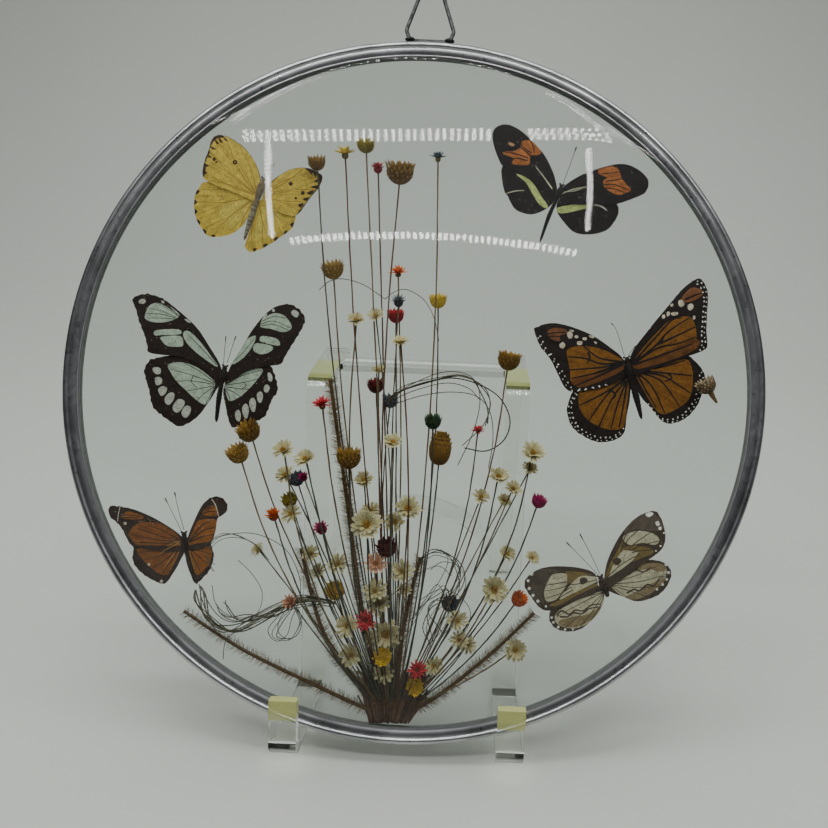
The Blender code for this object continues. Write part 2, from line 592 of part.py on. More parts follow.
def make_arch(collection):
    """The arched rib between the uprights, in their plane."""
    inner = ARM_SPACING / 2 - ARM_WIDTH / 2
    reach = inner + 2 * MM
    outline = []
    steps = 14
    for step in range(steps + 1):
        angle = math.pi * step / steps
        outline.append((math.cos(angle) * inner, math.sin(angle) * inner))
    outline.append((-reach, 0.0))
    rise = inner + ARCH_HEIGHT
    low = math.asin(1.0 - 2 * MM / rise)
    outline.append((-reach, rise * math.cos(low)))
    for step in range(steps + 1):
        angle = math.pi - (math.pi / 2 - low) - (2 * low) * step / steps
        outline.append((math.cos(angle) * (rise - 0.2 * MM), math.sin(angle) * rise))
    outline.append((reach, rise * math.cos(low)))
    outline.append((reach, 0.0))
    arch = plate("arch", outline, CROSS_SHEET, collection)
    rear = arm_corners()[2]
    up = direction(math.pi / 2 - UPRIGHT_LEAN)
    arch.matrix_world = Matrix.Translation(rear + up * ARCH_CENTRE) @ Matrix.Rotation(
        math.pi / 2 - UPRIGHT_LEAN, 4, "X")
    return arch


def make_crossbar(collection):
    """The flat strip that joins the two arms across the top."""
    reach = ARM_SPACING / 2 - ARM_WIDTH / 2 + 2 * MM
    top = arm_corners()[3]
    half = CROSSBAR_WIDTH / 2
    outline = [(-reach, -half), (reach, -half), (reach, half), (-reach, half)]
    bar = plate("crossbar", outline, CROSS_SHEET, collection)
    middle = top + direction(-TOP_SLOPE) * (CROSSBAR_REACH + half)
    bar.matrix_world = Matrix.Translation(middle) @ Matrix.Rotation(-TOP_SLOPE, 4, "X")
    return bar


def make_easel(collection, cutters):
    left = make_arm("easel", -ARM_SPACING / 2, collection)
    right = make_arm("right_arm", ARM_SPACING / 2, collection)
    easel = unite(left, [make_arch(collection), make_crossbar(collection), right])
    cut = easel.modifiers.new("Feet", "BOOLEAN")
    cut.operation = "DIFFERENCE"
    cut.solver = "EXACT"
    cut.object = make_ground_cutter(cutters)
    easel = bake(easel, "easel")
    easel.data.materials.append(principled("clear_acrylic", (0.93, 0.95, 0.88), 0.05, transmission=0.95))
    smooth_round(easel, 30)
    return easel


def within_rim(pixel):
    """The pixel itself, or the nearest at which a wing still fits between the glasses."""
    offset = Vector(pixel) - Vector(RIM_CENTRE_PIXEL)
    offset.length = min(offset.length, WING_REACH_PIXELS)
    return Vector(RIM_CENTRE_PIXEL) + offset


def wing_plane(shape, tilt, lift):
    """A plane for the wings, lifted off the back glass and tilted with it by a share."""
    thorax = shape["body"][2]
    spot = seen_at(thorax)
    for _ in range(4):
        spot = seen_at(thorax, height=lift - glass_height(spot.to_2d().length))
    normal = Vector((-spot.x * tilt, -spot.y * tilt, SPHERE_DROP - spot.z)).normalized()
    heading = seen_at(shape["body"][3], height=spot.z) - seen_at(shape["body"][0], height=spot.z)
    heading = (heading - normal * heading.dot(normal)).normalized()
    plane = Matrix((heading.cross(normal), heading, normal)).transposed().to_4x4()
    plane.translation = spot
    return plane


def lies_inside(shape, plane):
    """Whether the wings' corners and the body keep clear of both glasses."""
    wings = shape["forewings"] + shape["hindwings"]
    places = [(within_rim(pixel), WING_THICKNESS) for wing in wings for pixel in wing]
    places += [(pixel, width / 2 * PIXEL) for pixel, width in zip(shape["body"], shape["widths"])]
    for pixel, reach in places:
        spot = plane @ seen_at(pixel, plane)
        if abs(spot.z) + reach + TOUCH > glass_height(spot.to_2d().length + reach):
            return False
    return True


def butterfly_plane(shape):
    """The plane nearest the back glass, and most alike in tilt, in which the specimen lies free."""
    radius = max(shape["widths"]) / 2 * PIXEL
    for tilt in WING_TILTS:
        for step in range(WING_LIFT_STEPS):
            plane = wing_plane(shape, tilt, radius + TOUCH + step * WING_LIFT_STEP)
            if lies_inside(shape, plane):
                return plane
    raise ValueError("a butterfly does not fit between the glasses")


def make_butterfly(name, shape, collection, parent):
    """Body, four wings and antennae of one pressed butterfly, all one piece."""
    plane = butterfly_plane(shape)
    body_points = [seen_at(pixel, plane) for pixel in shape["body"]]
    body_radii = [width / 2 * PIXEL for width in shape["widths"]]
    tail = body_points[0] + (body_points[0] - body_points[1]).normalized() * body_radii[0] * 0.6
    nose = body_points[-1] + (body_points[-1] - body_points[-2]).normalized() * body_radii[-1] * 0.7
    neck = body_points[2].lerp(body_points[3], 0.62)
    waist = body_points[1].lerp(body_points[2], 0.55)
    points = [tail, body_points[0], body_points[1], waist, body_points[2], neck, body_points[3], nose]
    radii = [body_radii[0] * 0.4, body_radii[0], body_radii[1], body_radii[1] * 0.85, body_radii[2],
             body_radii[3] * 0.75, body_radii[3], body_radii[3] * 0.5]
    body = tube(name, points, radii, collection, parent, 1)
    pieces = []
    for layer, wings in ((-0.17 * MM, shape["hindwings"]), (0.17 * MM, shape["forewings"])):
        for outline in wings:
            places = [seen_at(within_rim(pixel), plane) for pixel in outline]
            wing = plate("wing", places, WING_THICKNESS, collection, parent)
            wing.location.z = layer
            pieces.append(wing)
    for antenna in shape["antennae"]:
        line = [seen_at(pixel, plane) for pixel in antenna]
        line = [line[0] + (line[0] - line[1]).normalized() * 0.8 * MM] + line[:-1] + [
            line[-2].lerp(line[-1], 0.85), line[-1]]
        feeler_radii = [0.22 * MM] * (len(line) - 2) + [0.3 * MM, 0.45 * MM]
        pieces.append(tube("antenna", line, feeler_radii, collection, parent, 0))
    item = unite(body, pieces)
    item.matrix_local = plane
    item.data.materials.append(principled(name, BUTTERFLY_COLOURS[name], 0.7))
    smooth_round(item)
    return item


def foot_point(towards, depth, shift):
    """Where a stem that leans towards a point leaves the glued foot, at a share of its thickness."""
    base = seen_at(FOOT_PIXEL)
    top = seen_at((FOOT_PIXEL[0], FOOT_TOP_PIXEL))
    height = top.y - base.y
    aim = towards - base
    lean = max(-1.0, min(1.0, aim.x / max(aim.y, 1 * MM)))
    if abs(lean) < 1.0:
        spot = Vector((base.x + lean * FOOT_HALF_WIDTH[1] + shift, top.y + TOUCH + STEM_RADIUS))
    else:
        aside = lean * (FOOT_HALF_WIDTH[1] + TOUCH + STEM_RADIUS)
        spot = Vector((base.x + aside, base.y + height * 0.8 + shift))
    return Vector((spot.x, spot.y, depth * FOOT_HALF_DEPTH))


def stem_height(depth, place):
    """Height over the rim's plane of a stem at this depth share, kept inside the glass."""
    room = glass_height(place.to_2d().length) - 1.3 * MM
    return depth * min(STEM_FAN_DEPTH, room)


def stem_path(head_pixel, bow, depth, shift):
    """Points from the foot to a head: a gently bowed line that spreads to its depth above the foot."""
    head = seen_at(head_pixel)
    for _ in range(3):
        head = seen_at(head_pixel, height=stem_height(depth, head))
    foot = foot_point(head, depth, shift)
    across = Vector((head.y - foot.y, foot.x - head.x, 0.0))
    points = []
    steps = 4
    for step in range(steps + 1):
        t = step / steps
        flat = foot.lerp(head, t) - across * bow * 4 * t * (1 - t)
        flat.z = foot.z + (head.z - foot.z) * math.sin(min(1.0, t * 1.6) * math.pi / 2)
        points.append(flat)
    return points


def head_axis(points, facing):
    """The way a head points: along its stem, turned towards the viewer by its facing share."""
    along = (points[-1] - points[-2]).normalized()
    return (along * (1 - facing) + Vector((0.0, 0.0, 1.0)) * facing).normalized()


def dense(points, spacing):
    """The points and more between them, no further apart than the spacing."""
    result = []
    for start, end in zip(points, points[1:]):
        count = max(1, int((end - start).length / spacing))
        result += [start.lerp(end, i / count) for i in range(count)]
    return result + [points[-1]]


def head_samples(kind, centre, axis, width):
    """Spheres that fill a head, for the clearance test."""
    if kind == "daisy" or kind == "star":
        side = axis.orthogonal().normalized()
        other = axis.cross(side)
        balls = [(centre, 1.3 * MM)]
        for i in range(8):
            angle = math.pi * i / 4
            rim = centre + (side * math.cos(angle) + other * math.sin(angle)) * (width / 2 - 0.9 * MM)
            balls.append((rim, 1.1 * MM))
            balls.append((centre.lerp(rim, 0.55), 1.1 * MM))
        return balls
    if kind == "egg":
        reach = width * 0.2
        return [(centre + axis * reach, width / 2), (centre - axis * reach, width / 2)]
    return [(centre, width / 2 * 1.02)]


def as_rows(balls):
    return np.array([(*place, radius) for place, radius in balls])


def is_clear(balls, taken):
    """Whether no sphere of the first rows comes near one of the second."""
    apart = np.linalg.norm(balls[:, None, :3] - taken[None, :, :3], axis=2)
    return bool((apart > balls[:, None, 3] + taken[None, :, 3] + STEM_CLEARANCE).all())


def inside_glass(balls):
    room = glass_height(np.linalg.norm(balls[:, :2], axis=1) + balls[:, 3])
    return bool((np.abs(balls[:, 2]) + balls[:, 3] + TOUCH < room).all())


def settle(name, make_balls, taken, depths=STEM_DEPTHS):
    """The first depth, bow and foot place at which a piece is clear of those already there."""
    there = as_rows(taken)
    for bow in STEM_BOWS:
        for shift in STEM_SHIFTS:
            for depth in depths:
                balls = make_balls(depth, bow, shift)
                rows = as_rows(balls)
                if inside_glass(rows) and is_clear(rows, there):
                    taken += balls
                    return depth, bow, shift
    raise ValueError("no room for " + name)


def make_head(kind, width, collection, parent):
    """A flower head along +Z with its back at the origin: petals as a notched cone, or an egg."""
    work = bmesh.new()
    if kind == "egg":
        bmesh.ops.create_uvsphere(work, u_segments=9, v_segments=6, radius=width / 2)
        bmesh.ops.scale(work, vec=(1.0, 1.0, 1.4), verts=work.verts)
    else:
        petals = {"daisy": 8, "star": 6, "cup": 6}[kind]
        back = {"daisy": 0.22, "star": 0.2, "cup": 0.3}[kind]
        depth = {"daisy": 0.2, "star": 0.3, "cup": 0.78}[kind]
        notch = {"daisy": 0.74, "star": 0.5, "cup": 0.84}[kind]
        bmesh.ops.create_cone(work, cap_ends=True, segments=petals * 2, radius1=width * back,
                              radius2=width / 2, depth=width * depth)
        work.verts.ensure_lookup_table()
        upper = [v for v in work.verts if v.co.z > 0]
        for number, vert in enumerate(upper):
            if number % 2:
                vert.co.x *= notch
                vert.co.y *= notch
                vert.co.z -= width * depth * 0.25
    mesh = bpy.data.meshes.new("head")
    work.to_mesh(mesh)
    work.free()
    return add_object("head", mesh, collection, parent)


def make_flower(row, taken, collection, parent):
    """A stem and its head in one piece, at the first free depth in the bouquet."""
    name, pixel, width_pixels, kind, facing, bow, colour = row
    width = width_pixels * PIXEL

    def balls(depth, more_bow, shift):
        points = stem_path(pixel, bow + more_bow, depth, shift)
        axis = head_axis(points, facing)
        stem = [(p, STEM_RADIUS) for p in dense(points, 1.2 * MM)]
        return stem + head_samples(kind, points[-1], axis, width)

    depths = FRONT_DEPTHS if kind == "daisy" else STEM_DEPTHS
    depth, more_bow, shift = settle(name, balls, taken, depths)
    points = stem_path(pixel, bow + more_bow, depth, shift)
    axis = head_axis(points, facing)
    head = make_head(kind, width, collection, parent)
    head.location = points[-1]
    head.rotation_euler = axis.to_track_quat("Z", "Y").to_euler()
    stem = tube(name, points, [STEM_RADIUS] * len(points), collection, parent, 0)
    flower = unite(stem, [head])
    flower.data.materials.append(principled(name, colour, 0.8))
    return flower


def make_bristly_stem(row, taken, collection, parent):
    """A stiff stem that thins towards its tip."""
    name, pixels, radius = row

    def path(depth, shift):
        points = []
        for number, pixel in enumerate(pixels):
            share = min(1.0, 0.15 + number / (len(pixels) - 1) * 1.3)
            place = seen_at(pixel)
            point = seen_at(pixel, height=stem_height(depth, place) * share)
            point.x += shift * (1 - number / (len(pixels) - 1))
            points.append(point)
        return spline_points(points, 2)

    def balls(depth, _, shift):
        return [(p, radius) for p in dense(path(depth, shift), 1.0 * MM)]

    depth, _, shift = settle(name, balls, taken)
    points = path(depth, shift)
    count = len(points)
    radii = [radius * (1 - 0.55 * i / (count - 1)) for i in range(count)]
    stem = tube(name, points, radii, collection, parent, 1)
    stem.data.materials.append(principled("bristly_stem", (0.24, 0.15, 0.06), 0.85))
    return stem


def make_tendril(row, taken, collection, parent):
    name, pixels, height = row
    points = spline_points([seen_at(pixel, height=height) for pixel in pixels], 2)
    taken += [(p, TENDRIL_RADIUS) for p in dense(points, 1.0 * MM)]
    strand = tube(name, points, [TENDRIL_RADIUS] * len(points), collection, parent, 0)
    strand.data.materials.append(principled("tendril", (0.05, 0.07, 0.05), 0.8))
    return strand


def make_foot(collection, parent):
    """The lump of glued and cut stem ends at the bouquet's foot, wider at its top."""
    base = seen_at(FOOT_PIXEL)
    top = seen_at((FOOT_PIXEL[0], FOOT_TOP_PIXEL))
    low, high = FOOT_HALF_WIDTH
    shoulder = base.y + FOOT_SHOULDER * (top.y - base.y)
    outline = [(base.x - low, base.y), (base.x + low, base.y), (base.x + high, shoulder),
               (base.x + high, top.y), (base.x - high, top.y), (base.x - high, shoulder)]
    foot = plate("bouquet_foot", outline, 2 * FOOT_HALF_DEPTH * 0.9, collection, parent)
    edges = foot.modifiers.new("Edges", "BEVEL")
    edges.width = 0.7 * MM
    edges.segments = 1
    foot.data.materials.append(principled("stem_foot", (0.12, 0.07, 0.05), 0.9))
    return foot


def foot_samples():
    """Spheres that fill the bouquet's foot, for the clearance test."""
    base = seen_at(FOOT_PIXEL)
    top = seen_at((FOOT_PIXEL[0], FOOT_TOP_PIXEL))
    radius = FOOT_HALF_DEPTH * 1.1
    across = np.arange(base.x - FOOT_HALF_WIDTH[1] + radius, base.x + FOOT_HALF_WIDTH[1], radius)
    return [(Vector((x, y, 0.0)), radius) for x in across for y in np.linspace(base.y, top.y - radius, 4)]


def make_loose_bud(collection, parent):
    """A fallen strawflower that lies on the monarch's wing."""
    plane = butterfly_plane(BUTTERFLIES["orange_brown_monarch"])
    width = LOOSE_BUD_WIDTH * PIXEL
    height = width / 2 + WING_THICKNESS + TOUCH
    nub, crown = [seen_at(pixel, plane, height) for pixel in LOOSE_BUD_PIXELS]
    head = make_head("cup", width, collection, parent)
    head.location = crown
    head.rotation_euler = (crown - nub).to_track_quat("Z", "Y").to_euler()
    stub = tube("loose_strawflower", [nub, crown], [0.8 * MM, 0.9 * MM], collection, parent, 1)
    bud = unite(stub, [head])
    bud.matrix_local = plane
    bud.data.materials.append(principled("loose_strawflower", BROWN, 0.8))
    return bud


def centre_on_origin(root, collection):
    """Moves everything so that the middle of the whole box is over the world's origin."""
    bpy.context.view_layer.update()
    depsgraph = bpy.context.evaluated_depsgraph_get()
    depths = []
    for item in collection.objects:
        if item.type == "MESH":
            shown = item.evaluated_get(depsgraph)
            depths += [(item.matrix_world @ corner.co).y for corner in shown.data.vertices]
    root.location.y = -(min(depths) + max(depths)) / 2


def main():
    clear_scene()
    collection = new_collection("framed_butterflies")
    cutters = new_collection("cutters")
    root = add_object("whole", None, collection)
    plane = add_object("rim_plane", None, collection, root)
    plane.location = rim_centre()
    plane.rotation_euler = (math.pi / 2 - LEAN, 0.0, 0.0)
    bpy.context.view_layer.update()
    make_rim(collection, plane)
    make_glass("front_glass", 1, collection, plane)
    make_glass("back_glass", -1, collection, plane)
    make_hanger(collection, plane)
    easel = make_easel(collection, cutters)
    easel.parent = root
    for name, shape in BUTTERFLIES.items():
        make_butterfly(name, shape, collection, plane)
    make_loose_bud(collection, plane)
    make_foot(collection, plane)
    taken = foot_samples()
    for row in TENDRILS:
        make_tendril(row, taken, collection, plane)
    for row in BRISTLY_STEMS:
        make_bristly_stem(row, taken, collection, plane)
    for row in FLOWERS:
        make_flower(row, taken, collection, plane)
    centre_on_origin(root, collection)


main()
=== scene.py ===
"""Looks for the framed butterflies: glass, metal, wings, dried flowers, floor, light and camera.

Pieces between the glasses are worked out in the rim's own axes, X to the right, Y up the glass and
Z out towards the viewer, in metres, and then placed by the rim's matrix.
"""

import json
import math

import bpy
import numpy as np
from mathutils import Matrix, Vector
from mathutils.geometry import delaunay_2d_cdt


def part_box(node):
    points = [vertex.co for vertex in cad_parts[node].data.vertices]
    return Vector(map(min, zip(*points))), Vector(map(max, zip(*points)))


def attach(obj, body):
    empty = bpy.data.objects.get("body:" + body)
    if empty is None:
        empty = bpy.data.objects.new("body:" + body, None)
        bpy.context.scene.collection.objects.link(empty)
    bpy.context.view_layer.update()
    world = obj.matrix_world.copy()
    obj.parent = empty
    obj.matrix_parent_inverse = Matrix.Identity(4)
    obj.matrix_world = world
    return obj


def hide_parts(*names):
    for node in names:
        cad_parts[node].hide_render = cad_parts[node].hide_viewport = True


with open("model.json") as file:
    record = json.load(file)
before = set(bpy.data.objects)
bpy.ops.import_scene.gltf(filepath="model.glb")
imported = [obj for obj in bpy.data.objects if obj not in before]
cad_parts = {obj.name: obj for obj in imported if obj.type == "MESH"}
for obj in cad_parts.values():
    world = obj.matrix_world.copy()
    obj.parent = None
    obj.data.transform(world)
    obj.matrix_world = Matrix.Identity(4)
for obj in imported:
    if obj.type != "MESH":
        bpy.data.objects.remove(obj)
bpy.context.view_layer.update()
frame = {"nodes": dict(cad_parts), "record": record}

MM = 0.001
RNG = np.random.default_rng(7)

# Rim and glasses
RIM_RADIUS = 160 * MM
RIM_INNER = 153.4 * MM
RIM_HALF_DEPTH = 3.7 * MM
GLASS_THICKNESS = 2.2 * MM
GLASS_RADIUS = 158.45 * MM
DOME_RADIUS = 152.5 * MM
DOME_RISE = 31 * MM
GLASS_GAP = 0.15 * MM
SPHERE_RADIUS = (DOME_RADIUS ** 2 + DOME_RISE ** 2) / (2 * DOME_RISE)
SPHERE_DROP = math.sqrt(SPHERE_RADIUS ** 2 - DOME_RADIUS ** 2) - GLASS_GAP - GLASS_THICKNESS
LEAN = math.radians(22)
TURN_STEPS = 256
SHARP_ANGLE = math.radians(50)
RIM_PLATE = 1.0 * MM
BEAD_RADIUS = 1.65 * MM
BEAD_START = math.radians(165)
BEAD_STEPS = 12
DOME_STEPS = 26

# The photograph's view
FOCAL_PIXELS = 800.0
VIEW_AXIS = np.array((465.0, 414.0))
VIEW_ROLL = math.radians(2.5)
RIM_CENTRE_PIXEL = np.array((414.4, 393.1))
RIM_RADIUS_PIXELS = 353.0
EYE_DISTANCE = RIM_RADIUS * FOCAL_PIXELS / RIM_RADIUS_PIXELS + RIM_HALF_DEPTH
PIXEL = EYE_DISTANCE / FOCAL_PIXELS
FRAME_PIXELS = 828
SENSOR = 36.0

rim_low, rim_high = (np.array(corner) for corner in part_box("rim"))
RIM_CENTRE = (rim_low + rim_high) / 2
RIM_MATRIX = Matrix.Translation(Vector(RIM_CENTRE)) @ Matrix.Rotation(math.pi / 2 - LEAN, 4, "X")
TO_WORLD = np.array(RIM_MATRIX)


def rolled(xy):
    xy = np.asarray(xy, dtype=float)
    cos_roll, sin_roll = math.cos(VIEW_ROLL), math.sin(VIEW_ROLL)
    return np.stack((xy[..., 0] * cos_roll - xy[..., 1] * sin_roll,
                     xy[..., 0] * sin_roll + xy[..., 1] * cos_roll), axis=-1)


EYE = np.append(rolled(((VIEW_AXIS[0] - RIM_CENTRE_PIXEL[0]) * PIXEL,
                        (RIM_CENTRE_PIXEL[1] - VIEW_AXIS[1]) * PIXEL)), EYE_DISTANCE)


def rays(pixels):
    """Directions from the eye through pixels, in the rim's axes."""
    pixels = np.atleast_2d(np.asarray(pixels, dtype=float))
    across = (pixels - VIEW_AXIS) / FOCAL_PIXELS * (1, -1)
    return np.column_stack((rolled(across), -np.ones(len(across))))


def seen_at(pixels, height=0.0):
    """Points at a height over the rim's plane that the pixels show."""
    way = rays(pixels)
    return EYE + way * ((np.asarray(height) - EYE[2]) / way[:, 2])[:, None]


def on_plane(pixels, plane, height=0.0):
    """As seen_at, for a tilted plane, in that plane's own axes."""
    into = np.linalg.inv(plane)
    start = into[:3, :3] @ EYE + into[:3, 3]
    way = rays(pixels) @ into[:3, :3].T
    return start + way * ((np.asarray(height) - start[2]) / way[:, 2])[:, None]


def place(points, matrix):
    """Points moved by a matrix."""
    return np.asarray(points) @ matrix[:3, :3].T + matrix[:3, 3]


def glass_inside(radius):
    """Height of the front glass's inner face over the rim's plane."""
    inner = SPHERE_RADIUS - GLASS_THICKNESS
    return np.sqrt(np.maximum(inner ** 2 - np.asarray(radius) ** 2, 0)) - SPHERE_DROP


class Shape:
    """Collects points and faces, with a colour for each face, of one mesh."""

    def __init__(self):
        self.points = []
        self.faces = []
        self.colours = []
        self.count = 0

    def add(self, points, faces, colour=(1, 1, 1)):
        points = np.asarray(points, dtype=float).reshape(-1, 3)
        colour = np.asarray(colour, dtype=float)
        self.points.append(points)
        if colour.ndim == 1:
            colour = np.tile(colour, (len(faces), 1))
        for face in faces:
            self.faces.append([i + self.count for i in face])
        self.colours.append(colour)
        self.count += len(points)

    def build(self, name, material, slot, replaces=()):
        """The mesh in the scene, moved from the rim's axes into the world's."""
        points = place(np.concatenate(self.points), TO_WORLD)
        mesh = bpy.data.meshes.new(name)
        mesh.from_pydata(points.tolist(), [], self.faces)
        colours = np.concatenate(self.colours)
        paint = mesh.attributes.new("paint", "FLOAT_COLOR", "FACE")
        paint.data.foreach_set("color", np.column_stack((colours, np.ones(len(colours)))).ravel())
        mesh.shade_smooth()
        mesh.set_sharp_from_angle(angle=SHARP_ANGLE)
        item = bpy.data.objects.new(name, mesh)
        bpy.context.scene.collection.objects.link(item)
        mesh.materials.append(material)
        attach(item, "root")
        if replaces:
            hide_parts(*replaces)
        return item


def grid_faces(rows, columns, closed=False):
    """Quads of a grid of points, row by row; a closed one joins its last column to its first."""
    faces = []
    last = columns if closed else columns - 1
    for row in range(rows - 1):
        for column in range(last):
            after = (column + 1) % columns
            faces.append((row * columns + column, row * columns + after,
                          (row + 1) * columns + after, (row + 1) * columns + column))
    return faces


def tube(points, radii, sides=8):
    """Points and faces of a tube with closed ends."""
    points = np.asarray(points, dtype=float)
    ways = np.gradient(points, axis=0)
    ways /= np.linalg.norm(ways, axis=1)[:, None] + 1e-12
    side = np.cross(ways[0], (0.0, 0.0, 1.0))
    if np.linalg.norm(side) < 1e-3:
        side = np.cross(ways[0], (0.0, 1.0, 0.0))
    rings = []
    turns = np.linspace(0, 2 * math.pi, sides, endpoint=False)
    for point, way, radius in zip(points, ways, np.broadcast_to(radii, len(points))):
        side = side - way * side.dot(way)
        side /= np.linalg.norm(side) + 1e-12
        other = np.cross(way, side)
        rings.append(point + radius * (np.cos(turns)[:, None] * side + np.sin(turns)[:, None] * other))
    faces = grid_faces(len(points), sides, closed=True)
    faces.append(tuple(reversed(range(sides))))
    faces.append(tuple((len(points) - 1) * sides + i for i in range(sides)))
    return np.concatenate(rings), faces


def smooth_line(points, steps=6, closed=False):
    """A Catmull-Rom curve through the points."""
    points = np.asarray(points, dtype=float)
    if closed:
        knots = np.concatenate((points[-1:], points, points[:2]))
    else:
        knots = np.concatenate((2 * points[:1] - points[1:2], points, 2 * points[-1:] - points[-2:-1]))
    made = []
    for i in range(1, len(knots) - 2):
        before, start, end, after = knots[i - 1:i + 3]
        for step in range(steps):
            t = step / steps
            square = (2 * before - 5 * start + 4 * end - after) * t ** 2
            cube = (3 * start - before - 3 * end + after) * t ** 3
            made.append(0.5 * (2 * start + (end - before) * t + square + cube))
    if not closed:
        made.append(knots[-2])
    return np.array(made)


def lengths_along(line):
    """The way covered along a line at each of its points."""
    return np.concatenate(([0], np.cumsum(np.linalg.norm(np.diff(line, axis=0), axis=1))))


def spots_along(line, where):
    """The line's points at some lengths along it."""
    steps = lengths_along(line)
    return np.column_stack([np.interp(where, steps, line[:, k]) for k in range(line.shape[1])])


def ways_along(line):
    """The line's direction at each of its points."""
    ways = np.gradient(line, axis=0)
    return ways / np.linalg.norm(ways, axis=1)[:, None]


def unit(vector):
    """A vector of length 1 in the same direction."""
    return vector / np.linalg.norm(vector)


# Materials

# The easel's front lips lie before this Y, and their frost, with a painted yellow-green edge glow, hides this
# share of the clear plastic
LIPS_BEFORE = -0.07
FROST_AND_GLOW_SHARE = 0.72


def node_material(name):
    """A new material with its node tree and its Principled node."""
    material = bpy.data.materials.new(name)
    material.use_nodes = True
    tree = material.node_tree
    return material, tree, tree.nodes["Principled BSDF"]


def add_node(tree, kind, **inputs):
    node = tree.nodes.new(kind)
    for key, value in inputs.items():
        node.inputs[key.replace("_", " ")].default_value = value
    return node


def coloured(tree, fac, low, high, first=0.0, second=1.0):
    """A value turned into a colour between two."""
    ramp = tree.nodes.new("ShaderNodeValToRGB")
    ramp.color_ramp.elements[0].color = (*low, 1)
    ramp.color_ramp.elements[1].color = (*high, 1)
    ramp.color_ramp.elements[0].position = first
    ramp.color_ramp.elements[1].position = second
    tree.links.new(fac, ramp.inputs["Fac"])
    return ramp.outputs["Color"]


def object_noise(tree, scale, detail=4.0, stretch=(1, 1, 1)):
    """Noise in the object's own axes."""
    where = tree.nodes.new("ShaderNodeTexCoord")
    mapping = tree.nodes.new("ShaderNodeMapping")
    mapping.inputs["Scale"].default_value = stretch
    noise = add_node(tree, "ShaderNodeTexNoise", Scale=scale, Detail=detail)
    tree.links.new(where.outputs["Object"], mapping.inputs["Vector"])
    tree.links.new(mapping.outputs["Vector"], noise.inputs["Vector"])
    return noise.outputs["Fac"]


def bumped(tree, shader, fac, strength, distance):
    bump = add_node(tree, "ShaderNodeBump", Strength=strength, Distance=distance)
    tree.links.new(fac, bump.inputs["Height"])
    tree.links.new(bump.outputs["Normal"], shader.inputs["Normal"])


def multiply(tree, first, second, share=1.0):
    mix = tree.nodes.new("ShaderNodeMix")
    mix.data_type = "RGBA"
    mix.blend_type = "MULTIPLY"
    mix.inputs[0].default_value = share
    tree.links.new(first, mix.inputs[6])
    tree.links.new(second, mix.inputs[7])
    return mix.outputs[2]


def painted_material(name, roughness, speckle, depth, spread=(0.62, 1.25), through=0.0):
    """Takes each face's own colour and varies it with fine speckles and broad blotches."""
    material, tree, shader = node_material(name)
    paint = tree.nodes.new("ShaderNodeAttribute")
    paint.attribute_name = "paint"
    fine = coloured(tree, object_noise(tree, speckle), (spread[0],) * 3, (spread[1],) * 3, 0.3, 0.7)
    broad = coloured(tree, object_noise(tree, speckle / 7), (0.82, 0.8, 0.78), (1.1, 1.1, 1.08), 0.35, 0.65)
    colour = multiply(tree, multiply(tree, paint.outputs["Color"], fine), broad)
    tree.links.new(colour, shader.inputs["Base Color"])
    shader.inputs["Roughness"].default_value = roughness
    shader.inputs["Specular IOR Level"].default_value = 0.25
    if through:
        shader.inputs["Subsurface Weight"].default_value = through
        shader.inputs["Subsurface Radius"].default_value = (0.6 * MM, 0.4 * MM, 0.25 * MM)
        shader.inputs["Subsurface Scale"].default_value = 1.0
    bumped(tree, shader, object_noise(tree, speckle * 1.7), 0.5, depth)
    return material


def math_node(tree, operation, first, second=None):
    """A maths node between a socket and a number or a second socket."""
    node = tree.nodes.new("ShaderNodeMath")
    node.operation = operation
    tree.links.new(first, node.inputs[0])
    if isinstance(second, float):
        node.inputs[1].default_value = second
    elif second is not None:
        tree.links.new(second, node.inputs[1])
    return node.outputs["Value"]


def mixed(tree, fac, first, second):
    """Two shaders mixed by a share."""
    mix = tree.nodes.new("ShaderNodeMixShader")
    tree.links.new(fac, mix.inputs["Fac"])
    tree.links.new(first, mix.inputs[1])
    tree.links.new(second, mix.inputs[2])
    return mix.outputs["Shader"]


def rising(tree, value, low, high):
    """0 below the first value, 1 beyond the second, with a soft step between them."""
    step = tree.nodes.new("ShaderNodeMapRange")
    step.inputs["From Min"].default_value = low
    step.inputs["From Max"].default_value = high
    step.interpolation_type = "SMOOTHSTEP"
    tree.links.new(value, step.inputs["Value"])
    return step.outputs["Result"]


def mirror_share(tree):
    """How much thin glass mirrors: little from the front, much at a slant."""
    slant = add_node(tree, "ShaderNodeLayerWeight", Blend=0.5)
    steep = math_node(tree, "POWER", slant.outputs["Facing"], 5.0)
    share = tree.nodes.new("ShaderNodeMapRange")
    share.inputs["To Min"].default_value = 0.014
    share.inputs["To Max"].default_value = 0.85
    tree.links.new(steep, share.inputs["Value"])
    return share.outputs["Result"]


def painted_light_edge(tree, surface):
    """Grey band painted on the glass's flat edge, from just outside the dome, to lighten the shade of the
    rim's channel.
    """
    coordinates = tree.nodes.new("ShaderNodeTexCoord")
    distance = tree.nodes.new("ShaderNodeVectorMath")
    distance.operation = "DISTANCE"
    distance.inputs[1].default_value = RIM_CENTRE
    tree.links.new(coordinates.outputs["Object"], distance.inputs[0])
    painted_band_share = rising(tree, distance.outputs["Value"], DOME_RADIUS + 0.5 * MM, DOME_RADIUS + 0.8 * MM)
    # painted light: a grey diffuse band that brightens the dark channel where the glass meets the rim
    painted_grey_band = add_node(tree, "ShaderNodeBsdfDiffuse")
    grey = coloured(tree, object_noise(tree, 300, 4), (0.24, 0.245, 0.24), (0.40, 0.41, 0.40))
    tree.links.new(grey, painted_grey_band.inputs["Color"])
    return mixed(tree, painted_band_share, surface, painted_grey_band.outputs["BSDF"])


